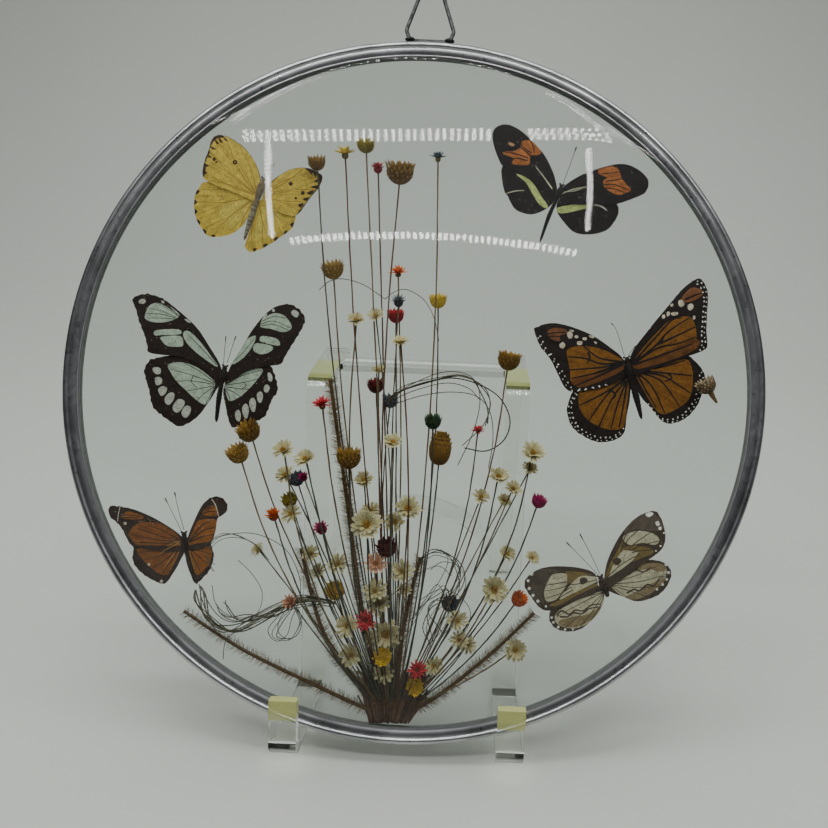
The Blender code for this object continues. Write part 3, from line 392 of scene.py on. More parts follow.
def glass_material(name, tint, colour_noise):
    """Thin clear glass with faint dust on it and a grey band painted on its flat edge to lighten the shade of
    the rim's channel.
    """
    material, tree, shader = node_material(name)
    clear = add_node(tree, "ShaderNodeBsdfTransparent")
    tint_ramp = coloured(tree, object_noise(tree, colour_noise, 2), tint, tuple(min(1,
                                                                                    c + 0.01) for c in tint))
    tree.links.new(tint_ramp, clear.inputs["Color"])
    gloss = add_node(tree, "ShaderNodeBsdfGlossy", Roughness=0.004)
    glass = mixed(tree, mirror_share(tree), clear.outputs["BSDF"], gloss.outputs["BSDF"])
    shader.inputs["Base Color"].default_value = (0.8, 0.8, 0.78, 1)
    shader.inputs["Roughness"].default_value = 0.9
    speck = coloured(tree, object_noise(tree, 2600, 2), (0, 0, 0), (0.25, 0.25, 0.25), 0.72, 0.8)
    dusty = mixed(tree, speck, glass, shader.outputs["BSDF"])
    output = tree.nodes["Material Output"]
    tree.links.new(painted_light_edge(tree, dusty), output.inputs["Surface"])
    return material


def zinc_material():
    """Satin zinc with lighter and darker patina blotches and a fine grain."""
    material, tree, shader = node_material("zinc")
    blotch = object_noise(tree, 45, 6)
    colour = coloured(tree, blotch, (0.28, 0.285, 0.29), (0.56, 0.57, 0.58), 0.3, 0.7)
    tree.links.new(colour, shader.inputs["Base Color"])
    shader.inputs["Metallic"].default_value = 1.0
    rough = coloured(tree, object_noise(tree, 420, 5), (0.2,) * 3, (0.42,) * 3)
    tree.links.new(rough, shader.inputs["Roughness"])
    bumped(tree, shader, object_noise(tree, 900, 3), 0.25, 0.05 * MM)
    return material


def wire_material():
    material, tree, shader = node_material("steel_wire")
    colour = coloured(tree, object_noise(tree, 500, 4), (0.03, 0.03, 0.03), (0.10, 0.10, 0.098), 0.35, 0.65)
    tree.links.new(colour, shader.inputs["Base Color"])
    shader.inputs["Metallic"].default_value = 0.9
    shader.inputs["Roughness"].default_value = 0.38
    bumped(tree, shader, object_noise(tree, 1500, 3), 0.3, 0.05 * MM)
    return material


def frosted_ends_painted_glow(tree):
    """1 on the easel's front lips near their tops and on the arms' upper ends."""
    coordinates = tree.nodes.new("ShaderNodeTexCoord")
    parts = tree.nodes.new("ShaderNodeSeparateXYZ")
    tree.links.new(coordinates.outputs["Object"], parts.inputs["Vector"])
    points = np.array([v.co for v in frame["nodes"]["easel"].data.vertices])
    lip_top = points[points[:, 1] < LIPS_BEFORE][:, 2].max()
    arm_top = points[:, 2].max()
    front = rising(tree, parts.outputs["Y"], -0.058, -0.062)
    high = rising(tree, parts.outputs["Z"], lip_top - 9 * MM, lip_top - 8 * MM)
    top = rising(tree, parts.outputs["Z"], arm_top - 1 * MM, arm_top - 0.7 * MM)
    aside = rising(tree, math_node(tree, "ABSOLUTE", parts.outputs["X"]), 43 * MM, 44 * MM)
    lips = math_node(tree, "MULTIPLY", front, high)
    arms = math_node(tree, "MULTIPLY", top, aside)
    return math_node(tree, "MAXIMUM", lips, arms)


def acrylic_material():
    """Clear plastic with hair scratches; its sawn ends are frosted, and tinted yellow-green as a painted edge
    glow.
    """
    material, tree, shader = node_material("acrylic")
    tint = coloured(tree, object_noise(tree, 30, 3), (0.955, 0.965, 0.93), (0.985, 0.99, 0.975))
    tree.links.new(tint, shader.inputs["Base Color"])
    shader.inputs["Transmission Weight"].default_value = 1.0
    shader.inputs["IOR"].default_value = 1.3
    rough = coloured(tree, object_noise(tree, 120, 5), (0.03,) * 3, (0.16,) * 3, 0.45, 0.7)
    tree.links.new(rough, shader.inputs["Roughness"])
    frost_and_glow = tree.nodes.new("ShaderNodeBsdfPrincipled")
    frost_and_glow.inputs["Roughness"].default_value = 0.6
    # painted light: the yellow-green of the ends stands in for the glow of light carried through the plastic
    # to its cut faces
    edge_glow_tint = coloured(tree, object_noise(tree, 900, 3), (0.42, 0.44, 0.12), (0.58, 0.60, 0.24))
    tree.links.new(edge_glow_tint, frost_and_glow.inputs["Base Color"])
    share = math_node(tree, "MULTIPLY", frosted_ends_painted_glow(tree), FROST_AND_GLOW_SHARE)
    ends = mixed(tree, share, shader.outputs["BSDF"], frost_and_glow.outputs["BSDF"])
    clear = add_node(tree, "ShaderNodeBsdfTransparent")
    clear.inputs["Color"].default_value = (0.86, 0.87, 0.84, 1)
    light_path = tree.nodes.new("ShaderNodeLightPath")
    surface = mixed(tree, light_path.outputs["Is Shadow Ray"], ends, clear.outputs["BSDF"])
    tree.links.new(surface, tree.nodes["Material Output"].inputs["Surface"])
    return material


WING = painted_material("wing_scales", 0.62, 2600, 0.03 * MM, (0.72, 1.2))
BODY = painted_material("insect_body", 0.7, 3500, 0.06 * MM, (0.5, 1.3))
PETAL = painted_material("dry_petals", 0.7, 1500, 0.08 * MM, (0.68, 1.22), through=0.15)
STEM = painted_material("dry_stems", 0.75, 2200, 0.06 * MM, (0.5, 1.3))


# Rim, glasses, loop and easel

def turned(profile):
    """A closed profile of radii and heights turned about the rim's axis."""
    turns = np.linspace(0, 2 * math.pi, TURN_STEPS, endpoint=False)
    rows = [np.column_stack((r * np.cos(turns), r * np.sin(turns), np.full(TURN_STEPS, z))) for r,
            z in profile]
    count = len(profile) * TURN_STEPS
    faces = [tuple(i % count for i in face) for face in grid_faces(len(profile) + 1, TURN_STEPS, closed=True)]
    return np.concatenate(rows), faces


def make_rim():
    """A channel with a flat inner flange, a groove and a round outer bead on both sides."""
    half = RIM_HALF_DEPTH
    lip = half - RIM_PLATE
    inner = RIM_INNER
    outer = RIM_RADIUS
    upper = [(inner, lip), (inner, half - 1.3 * MM), (inner + 0.3 * MM, half - 0.95 * MM),
             (inner + 2.9 * MM, half - 0.8 * MM), (inner + 3.2 * MM, half - 1.3 * MM)]
    for turn in np.linspace(BEAD_START, 0, BEAD_STEPS):
        upper.append((outer - BEAD_RADIUS + BEAD_RADIUS * math.cos(turn),
                      half - BEAD_RADIUS + BEAD_RADIUS * math.sin(turn)))
    lower = [(r, -z) for r, z in reversed(upper)]
    profile = upper + lower + [(outer - RIM_PLATE, -lip), (outer - RIM_PLATE, lip)]
    shape = Shape()
    shape.add(*turned(profile[::-1]))
    shape.build("rim_dressed", zinc_material(), "zinc", ["rim"])


def make_glass(name, side, material):
    """A dome with its flat edge, both faces."""
    radii = np.linspace(0.2 * MM, DOME_RADIUS, DOME_STEPS)
    outer = [(r, math.sqrt(SPHERE_RADIUS ** 2 - r ** 2) - SPHERE_DROP) for r in radii]
    outer.append((GLASS_RADIUS, GLASS_GAP + GLASS_THICKNESS))
    inner = [(GLASS_RADIUS, GLASS_GAP), (DOME_RADIUS - 0.9 * MM, GLASS_GAP)]
    inner_sphere = SPHERE_RADIUS - GLASS_THICKNESS
    for r in radii[::-1][1:] * (inner_sphere / SPHERE_RADIUS):
        inner.append((r, math.sqrt(inner_sphere ** 2 - r ** 2) - SPHERE_DROP))
    points, faces = turned((outer + inner)[::-1])
    shape = Shape()
    shape.add(points * (1, side, side), faces)
    shape.build(name + "_dressed", material, "glass", [name])


def dress_node(name, material, bevel=0.0):
    """A CAD node shown as it is, with its own material and slightly broken edges."""
    node = frame["nodes"][name]
    node.data.materials.clear()
    node.data.materials.append(material)
    if bevel:
        edges = node.modifiers.new("Edges", "BEVEL")
        edges.width = bevel
        edges.segments = 2
        edges.limit_method = "ANGLE"
        edges.angle_limit = math.radians(40)


# Dried flowers: colour at the foot and at the tip of the petals, and of the middle

YELLOW = ((0.62, 0.42, 0.03), (0.85, 0.66, 0.08), (0.45, 0.30, 0.03))
OLIVE = ((0.22, 0.17, 0.02), (0.50, 0.44, 0.05), (0.20, 0.14, 0.02))
BROWN = ((0.15, 0.075, 0.012), (0.42, 0.25, 0.045), (0.14, 0.06, 0.01))
OCHRE = ((0.26, 0.15, 0.03), (0.52, 0.34, 0.09), (0.18, 0.08, 0.01))
CREAM = ((0.36, 0.29, 0.10), (0.58, 0.54, 0.31), (0.34, 0.19, 0.03))
RED = ((0.28, 0.01, 0.015), (0.68, 0.045, 0.06), (0.12, 0.03, 0.02))
DARK_RED = ((0.06, 0.008, 0.01), (0.24, 0.02, 0.025), (0.07, 0.02, 0.01))
ORANGE = ((0.42, 0.05, 0.005), (0.85, 0.20, 0.02), (0.25, 0.08, 0.01))
TEAL = ((0.02, 0.035, 0.05), (0.08, 0.14, 0.18), (0.02, 0.03, 0.03))
GREEN = ((0.012, 0.03, 0.012), (0.06, 0.12, 0.05), (0.02, 0.03, 0.01))
MAGENTA = ((0.22, 0.01, 0.06), (0.55, 0.025, 0.18), (0.15, 0.02, 0.03))
NAVY = ((0.008, 0.014, 0.03), (0.03, 0.05, 0.09), (0.01, 0.015, 0.02))
PEACH = ((0.45, 0.18, 0.08), (0.80, 0.45, 0.28), (0.35, 0.15, 0.05))
GREY = ((0.05, 0.055, 0.07), (0.17, 0.19, 0.23), (0.06, 0.06, 0.06))

STEM_BROWN = (0.20, 0.115, 0.05)
STEM_COLOURS = ((0.13, 0.085, 0.04), (0.17, 0.12, 0.06), (0.07, 0.055, 0.035), (0.05, 0.055, 0.04),
                (0.11, 0.05, 0.03), (0.08, 0.08, 0.055))

# Flowers of the frame: node, head pixel, head width in pixels, kind, facing share, colours
FLOWERS = (
    ("yellow_flower_low", (336, 592), 22, "cup", 0.5, YELLOW),
    ("yellow_star_flower", (345, 154), 24, "star", 0.2, YELLOW),
    ("olive_flower", (366, 146.5), 20, "cup", 0.2, OLIVE),
    ("red_bud_tall", (378, 169.5), 15, "cup", 0.2, RED),
    ("brown_strawflower_tall", (400, 174), 31, "cup", 0.25, BROWN),
    ("cream_daisy_low_right", (494, 590), 30, "daisy", 0.75, CREAM),
    ("cream_daisy_right_centre", (408, 509), 28, "daisy", 0.6, CREAM),
    ("large_cream_daisy", (366.5, 525), 32, "daisy", 0.7, CREAM),
    ("cream_daisy_middle", (364, 480), 22, "daisy", 0.55, CREAM),
    ("cream_daisy_centre", (393, 442), 20, "daisy", 0.5, CREAM),
    ("white_daisy", (386, 634), 34, "daisy", 0.95, CREAM),
    ("brown_strawflower_left", (317, 164), 20, "cup", 0.15, BROWN),
    ("teal_flower", (438, 158), 19, "star", 0.2, TEAL),
    ("ochre_strawflower", (333, 271), 26, "cup", 0.3, OCHRE),
    ("orange_star_flower", (398, 273), 22, "star", 0.35, ORANGE),
    ("red_flower_middle", (396, 317), 19, "cup", 0.3, RED),
    ("yellow_flower_right", (438, 302), 20, "cup", 0.3, YELLOW),
    ("brown_strawflower_right", (508.6, 362), 26, "cup", 0.15, BROWN),
    ("cream_daisy_upper_left", (356, 320), 20, "daisy", 0.5, CREAM),
    ("cream_daisy_upper", (400.5, 342), 19, "daisy", 0.4, CREAM),
    ("dark_red_flower", (376, 387), 20, "cup", 0.3, DARK_RED),
    ("red_star_flower", (322, 405), 22, "star", 0.35, RED),
    ("brown_strawflower_low_left", (249.6, 433), 27, "cup", 0.4, BROWN),
    ("brown_strawflower_far_left", (239, 455), 24, "cup", 0.4, OCHRE),
    ("brown_strawflower_middle", (349, 460), 26, "cup", 0.2, BROWN),
    ("dark_green_flower", (433, 423), 18, "cup", 0.3, GREEN),
    ("brown_seed_head", (440, 450), 25, "egg", 0.0, BROWN),
    ("small_red_star", (478, 431), 16, "star", 0.4, RED),
    ("cream_daisy_left_top", (283, 450), 24, "daisy", 0.5, CREAM),
    ("cream_daisy_left", (305, 459), 23, "daisy", 0.5, CREAM),
    ("cream_daisy_right_top", (533, 453), 26, "daisy", 0.6, CREAM),
    ("cream_daisy_right", (498.5, 476.5), 22, "daisy", 0.5, CREAM),
    ("magenta_bud", (538.5, 502.5), 17, "cup", 0.2, MAGENTA),
    ("cream_daisy_far_right", (507, 554), 20, "daisy", 0.5, CREAM),
    ("orange_flower_right", (518, 600), 18, "cup", 0.4, ORANGE),
    ("cream_daisy_lowest_right", (515, 650), 25, "daisy", 0.8, CREAM),
    ("navy_flower", (449, 605), 19, "cup", 0.4, NAVY),
    ("orange_flower_left", (273.6, 516.5), 16, "cup", 0.3, ORANGE),
)

# Further small flowers: head pixel, head width in pixels, kind, facing share, colours, depth share
SMALL_FLOWERS = (
    ((398.5, 303), 13, "cup", 0.3, GREY, 0.3), ((375.5, 315.5), 17, "daisy", 0.5, CREAM, 0.5),
    ((378.6, 370), 15, "daisy", 0.4, CREAM, 0.2), ((390, 402), 15, "cup", 0.3, GREY, 0.6),
    ((285, 475), 20, "daisy", 0.5, CREAM, 0.2), ((297, 480), 15, "cup", 0.4, GREY, 0.5),
    ((304, 478), 10, "cup", 0.4, MAGENTA, 0.8), ((290, 501), 15, "cup", 0.4, OLIVE, 0.3),
    ((291, 514), 20, "daisy", 0.6, CREAM, 0.6), ((322, 530), 14, "cup", 0.4, MAGENTA, 0.7),
    ((395, 522), 20, "daisy", 0.6, CREAM, -0.2), ((371.5, 511), 20, "daisy", 0.5, CREAM, -0.3),
    ((387, 549), 19, "cup", 0.5, DARK_RED, 0.6), ((376, 564), 20, "daisy", 0.6, PEACH, 0.9),
    ((311, 554), 18, "daisy", 0.6, CREAM, 0.3), ((338, 564), 20, "daisy", 0.6, CREAM, 0.6),
    ((402, 572), 22, "daisy", 0.6, CREAM, 0.9), ((375, 591), 22, "daisy", 0.6, CREAM, 1.0),
    ((379, 603), 22, "daisy", 0.7, CREAM, 0.7), ((347, 626), 22, "daisy", 0.7, CREAM, 0.8),
    ((351, 655), 22, "daisy", 0.8, CREAM, 0.9), ((291, 603), 14, "cup", 0.5, PEACH, 0.3),
    ((366, 621), 20, "star", 0.7, RED, 1.3), ((384, 672), 20, "daisy", 0.8, CREAM, 0.9),
    ((434, 666), 18, "daisy", 0.8, CREAM, 0.7), ((383, 657), 17, "cup", 0.7, YELLOW, 1.2),
    ((417, 670), 18, "star", 0.7, RED, 1.1), ((415, 687), 16, "cup", 0.7, YELLOW, 0.9),
    ((530, 469), 16, "daisy", 0.5, CREAM, 0.2), ((513, 489), 17, "daisy", 0.5, CREAM, 0.3),
    ((481, 497), 17, "daisy", 0.5, CREAM, 0.2), ((504, 501), 15, "daisy", 0.5, CREAM, -0.2),
    ((532, 558), 15, "daisy", 0.5, CREAM, 0.0), ((457, 621), 20, "daisy", 0.6, CREAM, 0.5),
    ((459, 640), 18, "daisy", 0.7, CREAM, 0.6), ((468, 645), 17, "daisy", 0.7, CREAM, 0.2),
    ((258, 550), 14, "daisy", 0.5, CREAM, 0.0), ((319, 571), 16, "daisy", 0.5, CREAM, 0.1),
    ((404, 590), 15, "daisy", 0.5, CREAM, 0.4), ((372, 640), 16, "star", 0.6, CREAM, 0.4),
)
FOOT_PIXEL = (392, 714)
FOOT_TOP_PIXEL = 700
FOOT_HALF_WIDTH = 12.5 * MM
FOOT_HALF_DEPTH = 1.0 * MM


GOLDEN_ANGLE = 2.39996
CALYX = (0.16, 0.12, 0.04)


def petal_grid(length, width, bend, cup, tip, rows=6, columns=3):
    """A petal along +X, curled up by bend and hollowed across; tip 1 is round, 3 is pointed."""
    along = np.linspace(0, 1, rows)
    if tip > 1.5:
        spread = np.sin(math.pi * along ** 0.7) ** 0.8 * (1 - along) ** 0.15 + 0.03
        spread[0] = 0.35
    else:
        spread = np.sqrt(np.maximum(1 - (2 * along ** 1.3 - 1) ** 6, 0)) * (0.45 + 0.55 * along)
        spread[0] = 0.3
        spread[-1] = 0.28
    across = np.linspace(-1, 1, columns)
    points = np.zeros((rows, columns, 3))
    turn = max(abs(bend), 1e-3)
    points[..., 0] = (np.sin(turn * along) / turn * length)[:, None]
    points[..., 1] = spread[:, None] * across[None] * width / 2
    rise = (1 - np.cos(turn * along)) / turn * length * (1 if bend > 0 else -1)
    points[..., 2] = rise[:, None] + cup * width / 2 * (across[None] ** 2) * spread[:, None]
    return points.reshape(-1, 3), grid_faces(rows, columns)


def whorl(shape, matrix, count, length, width, start, lift, bend, cup, tip, inner, outer, rows=6, turn=0.0):
    """A ring of petals round +Z, each starting at a radius and lifted by an angle above flat."""
    for number in range(count):
        size = RNG.uniform(0.86, 1.1)
        points, faces = petal_grid(length * size, width * RNG.uniform(0.85, 1.1), bend + RNG.normal(0, 0.14),
                                   cup, tip, rows)
        up = lift + RNG.normal(0, 0.1)
        turn_up = np.array(((math.cos(up), 0, -math.sin(up)), (0, 1, 0), (math.sin(up), 0, math.cos(up))))
        angle = turn + 2 * math.pi * (number + RNG.uniform(-0.16, 0.16)) / count
        cos, sin = math.cos(angle), math.sin(angle)
        spin = np.array(((cos, -sin, 0), (sin, cos, 0), (0, 0, 1)))
        points = (points @ turn_up.T + (start, 0, 0)) @ spin.T
        shade = RNG.uniform(0.82, 1.12)
        share = np.repeat(np.linspace(0, 1, rows - 1), 2)[:, None] ** 0.8
        colour = (np.array(inner) * (1 - share) + np.array(outer) * share) * shade
        shape.add(place(points, matrix), faces, colour)


def florets(shape, matrix, radius, count, size, colour, dome=0.35):
    """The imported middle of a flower: small knobs in a sunflower spiral."""
    for number in range(count):
        r = radius * math.sqrt((number + 0.5) / count)
        angle = number * GOLDEN_ANGLE
        centre = np.array((r * math.cos(angle), r * math.sin(angle), dome * radius * (1 - (r / radius) ** 2)))
        turns = np.linspace(0, 2 * math.pi, 5, endpoint=False)
        ring = np.column_stack((np.cos(turns) * size, np.sin(turns) * size, np.zeros(5)))
        points = np.concatenate((ring + centre, ring * (0.75, 0.75, 0) + centre + (0, 0, size * 1.1),
                                 [centre + (0, 0, size * 1.5)]))
        faces = grid_faces(2, 5, closed=True) + [(5 + i, 5 + (i + 1) % 5, 10) for i in range(5)]
        faces.append((4, 3, 2, 1, 0))
        shape.add(place(points, matrix), faces, np.array(colour) * RNG.uniform(0.6, 1.3))


def egg(shape, matrix, radius, stretch, colour, rows=9, sides=14):
    """A closed bulb along +Z with its foot at the origin."""
    around = np.linspace(0, 2 * math.pi, sides, endpoint=False)
    points = []
    for t in np.linspace(0.04, 0.96, rows):
        r = radius * math.sin(math.pi * t) ** 0.75
        z = radius * stretch * (1 - math.cos(math.pi * t))
        points.append(np.column_stack((r * np.cos(around), r * np.sin(around), np.full(sides, z))))
    faces = grid_faces(rows, sides, closed=True)
    faces.append(tuple(reversed(range(sides))))
    faces.append(tuple((rows - 1) * sides + i for i in range(sides)))
    shape.add(place(np.concatenate(points), matrix), faces, colour)


# A head's sizes are shares of half its width. Whorls of a daisy and a star: petals, length, width, start
# radius, lift, bend, hollow, tip, turn
DAISY_WHORLS = ((15, 0.82, 0.34, 0.16, 0.12, 0.25, 0.35, 1.0, 0.0), (12, 0.7, 0.3, 0.13, 0.5, 0.35, 0.35, 1.0,
                                                                     0.3))
STAR_WHORLS = ((11, 0.95, 0.34, 0.12, 0.32, 0.1, 0.5, 2.4, 0.0), (9, 0.85, 0.32, 0.1, 0.85, 0.12, 0.5, 2.4,
                                                                  0.4))
# Rings of a small cup: lift, length, petals
CROWN_ROWS = ((0.35, 0.85, 8), (0.7, 0.95, 8), (1.05, 1.0, 7), (1.35, 0.85, 5))
# Bracts of a strawflower's cup: height and radius of each row, lift, count, length
CUP_ROWS = ((-0.84, 0.36, 0.50, 12, 0.44), (-0.66, 0.58, 0.80, 15, 0.44), (-0.44, 0.74, 1.05, 16, 0.44),
            (-0.20, 0.80, 1.20, 16, 0.46), (0.0, 0.78, 1.12, 15, 0.54), (-0.05, 0.62, 1.20, 13, 0.58),
            (-0.10, 0.44, 1.30, 10, 0.50))
# A seed head: radius, how much longer than wide, rows of scales
SEED_RADIUS = 0.92
SEED_STRETCH = 1.35
SEED_ROWS = 9
# Cups up to this width are crowns of a few petals
SMALL_CUP = 17 * PIXEL
# The small flowers' petal tips spread this much wider than the measured discs
PETAL_SPREAD = 1.18
BOWL_PROFILE = ((0.10, -0.96), (0.34, -0.90), (0.58, -0.74), (0.76, -0.50), (0.85, -0.22), (0.84, 0.04),
                (0.70, 0.0), (0.55, -0.2))


def bowl(shape, matrix, half, colour, sides=18):
    """The solid cup under a strawflower's bracts."""
    around = np.linspace(0, 2 * math.pi, sides, endpoint=False)
    points = np.concatenate([np.column_stack((np.cos(around) * r * half, np.sin(around) * r * half,
                                              np.full(sides, z * half))) for r, z in BOWL_PROFILE])
    faces = grid_faces(len(BOWL_PROFILE), sides, closed=True)
    faces.append(tuple(reversed(range(sides))))
    faces.append(tuple(len(points) - sides + i for i in range(sides)))
    shape.add(place(points, matrix), faces, colour)


def head_matrix(centre, axis):
    """A head's own axes, with its Z along the stem."""
    axis = axis / np.linalg.norm(axis)
    side = np.cross(axis, (0.31, 0.94, 0.1))
    side /= np.linalg.norm(side)
    matrix = np.eye(4)
    matrix[:3, 0] = side
    matrix[:3, 1] = np.cross(axis, side)
    matrix[:3, 2] = axis
    matrix[:3, 3] = centre
    return matrix


def daisy_head(shape, matrix, half, inner, outer, middle, rich):
    """Flat rays round a wide middle."""
    egg(shape, moved_along(matrix, -0.32 * half), half * 0.26, 0.6, CALYX, 5, 10)
    for count, length, width, start, lift, bend, cup, tip, turn in DAISY_WHORLS:
        whorl(shape, matrix, count if rich else count - 3, half * length, half * width, half * start, lift,
              bend, cup, tip, inner, outer, turn=turn)
    florets(shape, matrix, half * 0.3, 26 if rich else 16, half * 0.055, middle)


def star_head(shape, matrix, half, inner, outer, middle):
    """Narrow pointed petals in two whorls."""
    egg(shape, moved_along(matrix, -0.42 * half), half * 0.3, 0.9, CALYX, 6, 10)
    for count, length, width, start, lift, bend, cup, tip, turn in STAR_WHORLS:
        whorl(shape, matrix, count, half * length, half * width, half * start, lift, bend, cup, tip, inner,
              outer, turn=turn)
    florets(shape, matrix, half * 0.26, 18, half * 0.06, middle)


def crown_head(shape, matrix, half, inner, outer, middle):
    """A small cup with a few upright petals."""
    high = moved_along(matrix, 0.15 * half)
    bowl(shape, high, half * 0.72, np.array(inner) * 0.8)
    for lift, length, count in CROWN_ROWS:
        whorl(shape, high, count, half * length, half * 0.42, half * (0.36 - 0.12 * lift), lift, 0.08, 0.5,
              2.6, inner, outer, rows=5, turn=lift * 3)
    florets(shape, matrix, half * 0.25, 12, half * 0.07, np.array(middle) * 1.2)


def cup_head(shape, matrix, half, inner, outer, middle, rich):
    """A strawflower: a bowl covered in rows of bracts."""
    high = moved_along(matrix, 0.3 * half)
    bowl(shape, high, half, np.array(inner) * 0.9)
    for z, r, lift, count, length in CUP_ROWS:
        whorl(shape, moved_along(high, z * half), count if rich else count - 5, half * length, half * 0.27,
              half * r, lift, 0.1, 0.45, 2.6, inner, outer, rows=5, turn=z * 9)
    florets(shape, moved_along(high, -0.25 * half), half * 0.55, 22, half * 0.08, np.array(middle) * 1.2)


def seed_head(shape, matrix, half, inner, outer):
    """A bulb covered in rows of upright scales."""
    low = moved_along(matrix, -1.25 * half)
    egg(shape, low, half * SEED_RADIUS, SEED_STRETCH, np.array(inner) * 1.1, 12, 18)
    for level in range(SEED_ROWS):
        t = (level + 0.5) / SEED_ROWS
        angle = math.pi * (0.04 + 0.92 * t)
        radius = half * 0.93 * math.sin(angle) ** 0.75
        ring = moved_along(low, half * SEED_RADIUS * SEED_STRETCH * (1 - math.cos(angle)))
        whorl(shape, ring, 15, half * 0.42, half * 0.32, radius * 0.96, SEED_STRETCH - 0.5 * (t - 0.5), 0.15,
              0.4, 2.0, inner, outer, rows=4, turn=level * 0.21)


def flower_head(shape, kind, centre, axis, width, colours, rich=True):
    """A head of one of the kinds; a rich one has more petals."""
    inner, outer, middle = colours
    matrix = head_matrix(centre, axis)
    half = width / 2
    if kind == "daisy":
        daisy_head(shape, matrix, half, inner, outer, middle, rich)
    elif kind == "star":
        star_head(shape, matrix, half, inner, outer, middle)
    elif kind == "egg":
        seed_head(shape, matrix, half, inner, outer)
    elif width < SMALL_CUP:
        crown_head(shape, matrix, half, inner, outer, middle)
    else:
        cup_head(shape, matrix, half, inner, outer, middle, rich)


def moved_along(matrix, distance):
    """The same axes moved along their Z."""
    moved = matrix.copy()
    moved[:3, 3] = matrix[:3, 3] + matrix[:3, 2] * distance
    return moved


def node_points(name):
    """The different vertices of a CAD node, in the rim's axes."""
    world = np.array([v.co for v in frame["nodes"][name].data.vertices])
    local = place(world, np.linalg.inv(TO_WORLD))
    return np.unique(np.round(local, 7), axis=0)


def stem_of(name, pixel):
    """The middle points of a node's four stem rings, and its head on the ray of the pixel."""
    points = node_points(name)
    guess = seen_at(pixel, points[:, 2].mean())[0]
    order = np.argsort(-np.linalg.norm(points - guess, axis=1))
    rings = [points[order[4 * i:4 * i + 4]].mean(axis=0) for i in range(4)]
    return np.array(rings + [seen_at(pixel, rings[3][2])[0]])


def stem_colour():
    return np.array(STEM_COLOURS[RNG.integers(len(STEM_COLOURS))]) * RNG.uniform(0.8, 1.15)


def add_stem(shape, points, radius=0.36 * MM):
    line = smooth_line(points, 7)
    wobble = RNG.normal(0, 0.05 * MM, line.shape)
    wobble[0] = wobble[-1] = 0
    line = line + wobble
    radii = radius * (1 + 0.12 * np.sin(np.linspace(0, 40, len(line))))
    ring_points, faces = tube(line, radii, 7)
    shape.add(ring_points, faces, stem_colour())


def slot_of(node):
    """The material slot that the part's record gives a node."""
    for row in frame["record"]["subparts"]:
        if row["node"] == node:
            return row["material_slot"]
    return None


def make_flowers():
    for name, pixel, pixels, kind, facing, colours in FLOWERS:
        line = stem_of(name, pixel)
        width = pixels * PIXEL
        along = line[-1] - line[-2]
        along /= np.linalg.norm(along)
        axis = along * (1 - facing) + np.array((0, 0, 1.0)) * facing
        shape = Shape()
        stem = Shape()
        flower_head(shape, kind, line[-1], axis, width, colours)
        base = line[-1] - axis / np.linalg.norm(axis) * width * 0.18
        add_stem(stem, np.vstack((line[:-1], base)))
        slot = slot_of(name)
        shape.build(name + "_head", PETAL, slot, [name])
        stem.build(name + "_stem", STEM, slot, [name])


def foot_place(head, depth):
    """Where a stem leaves the glued foot on its way to a head."""
    base = seen_at(FOOT_PIXEL)[0]
    top = seen_at((FOOT_PIXEL[0], FOOT_TOP_PIXEL))[0]
    lean = np.clip((head[0] - base[0]) / max(head[1] - base[1], 1 * MM), -1, 1)
    return np.array((base[0] + lean * FOOT_HALF_WIDTH, top[1] + 0.3 * MM, depth * FOOT_HALF_DEPTH))


def make_small_flowers():
    heads = Shape()
    stems = Shape()
    for pixel, pixels, kind, facing, colours, depth in SMALL_FLOWERS:
        near = seen_at(pixel)[0]
        room = glass_inside(np.hypot(near[0], near[1])) - 3.0 * MM
        head = seen_at(pixel, depth * min(10 * MM, room))[0]
        foot = foot_place(head, np.clip(depth, -1, 1))
        share = np.array((0, 0.25, 0.5, 0.75, 1.0))
        line = foot + (head - foot) * share[:, None]
        across = np.array((head[1] - foot[1], foot[0] - head[0], 0))
        line -= across * (RNG.uniform(-0.03, 0.03) * 4 * share * (1 - share))[:, None]
        line[:, 2] = foot[2] + (head[2] - foot[2]) * np.sin(np.minimum(1, share * 1.6) * math.pi / 2)
        along = line[-1] - line[-2]
        axis = along / np.linalg.norm(along) * (1 - facing) + np.array((0, 0, 1.0)) * facing
        width = pixels * PIXEL * PETAL_SPREAD
        flower_head(heads, kind, line[-1], axis, width, colours, rich=False)
        line[-1] -= axis / np.linalg.norm(axis) * width * 0.18
        add_stem(stems, line, 0.3 * MM)
    heads.build("small_flower_heads", PETAL, "cream_petals")
    stems.build("small_flower_stems", STEM, "dry_stem")


# Bristly stems: node, pixels from the foot to the tip, radius, hairs
BRISTLY_STEMS = (
    ("bristly_stem_far_left", ((360, 706), (300, 678), (240, 648), (184, 611)), 0.75 * MM, 1140),
    ("bristly_stem_left", ((371, 696), (340, 662), (318, 618), (301, 548)), 0.85 * MM, 1260),
    ("bristly_stem_tall", ((381, 696), (362, 610), (347, 500), (330, 378)), 0.85 * MM, 2700),
    ("bristly_stem_centre", ((396, 696), (400, 650), (408, 605), (421, 556)), 0.9 * MM, 1260),
    ("bristly_stem_right", ((423, 705), (450, 687), (495, 650), (535, 612)), 0.75 * MM, 1260),
)


def three_corners(way, radius):
    """Corners of a small triangle across a direction."""
    side = np.cross(way, (0.3, 0.2, 0.93))
    side /= np.linalg.norm(side) + 1e-12
    other = np.cross(way, side)
    turns = np.array((0, 2.0944, 4.18879))
    return radius * (np.cos(turns)[:, None] * side + np.sin(turns)[:, None] * other)


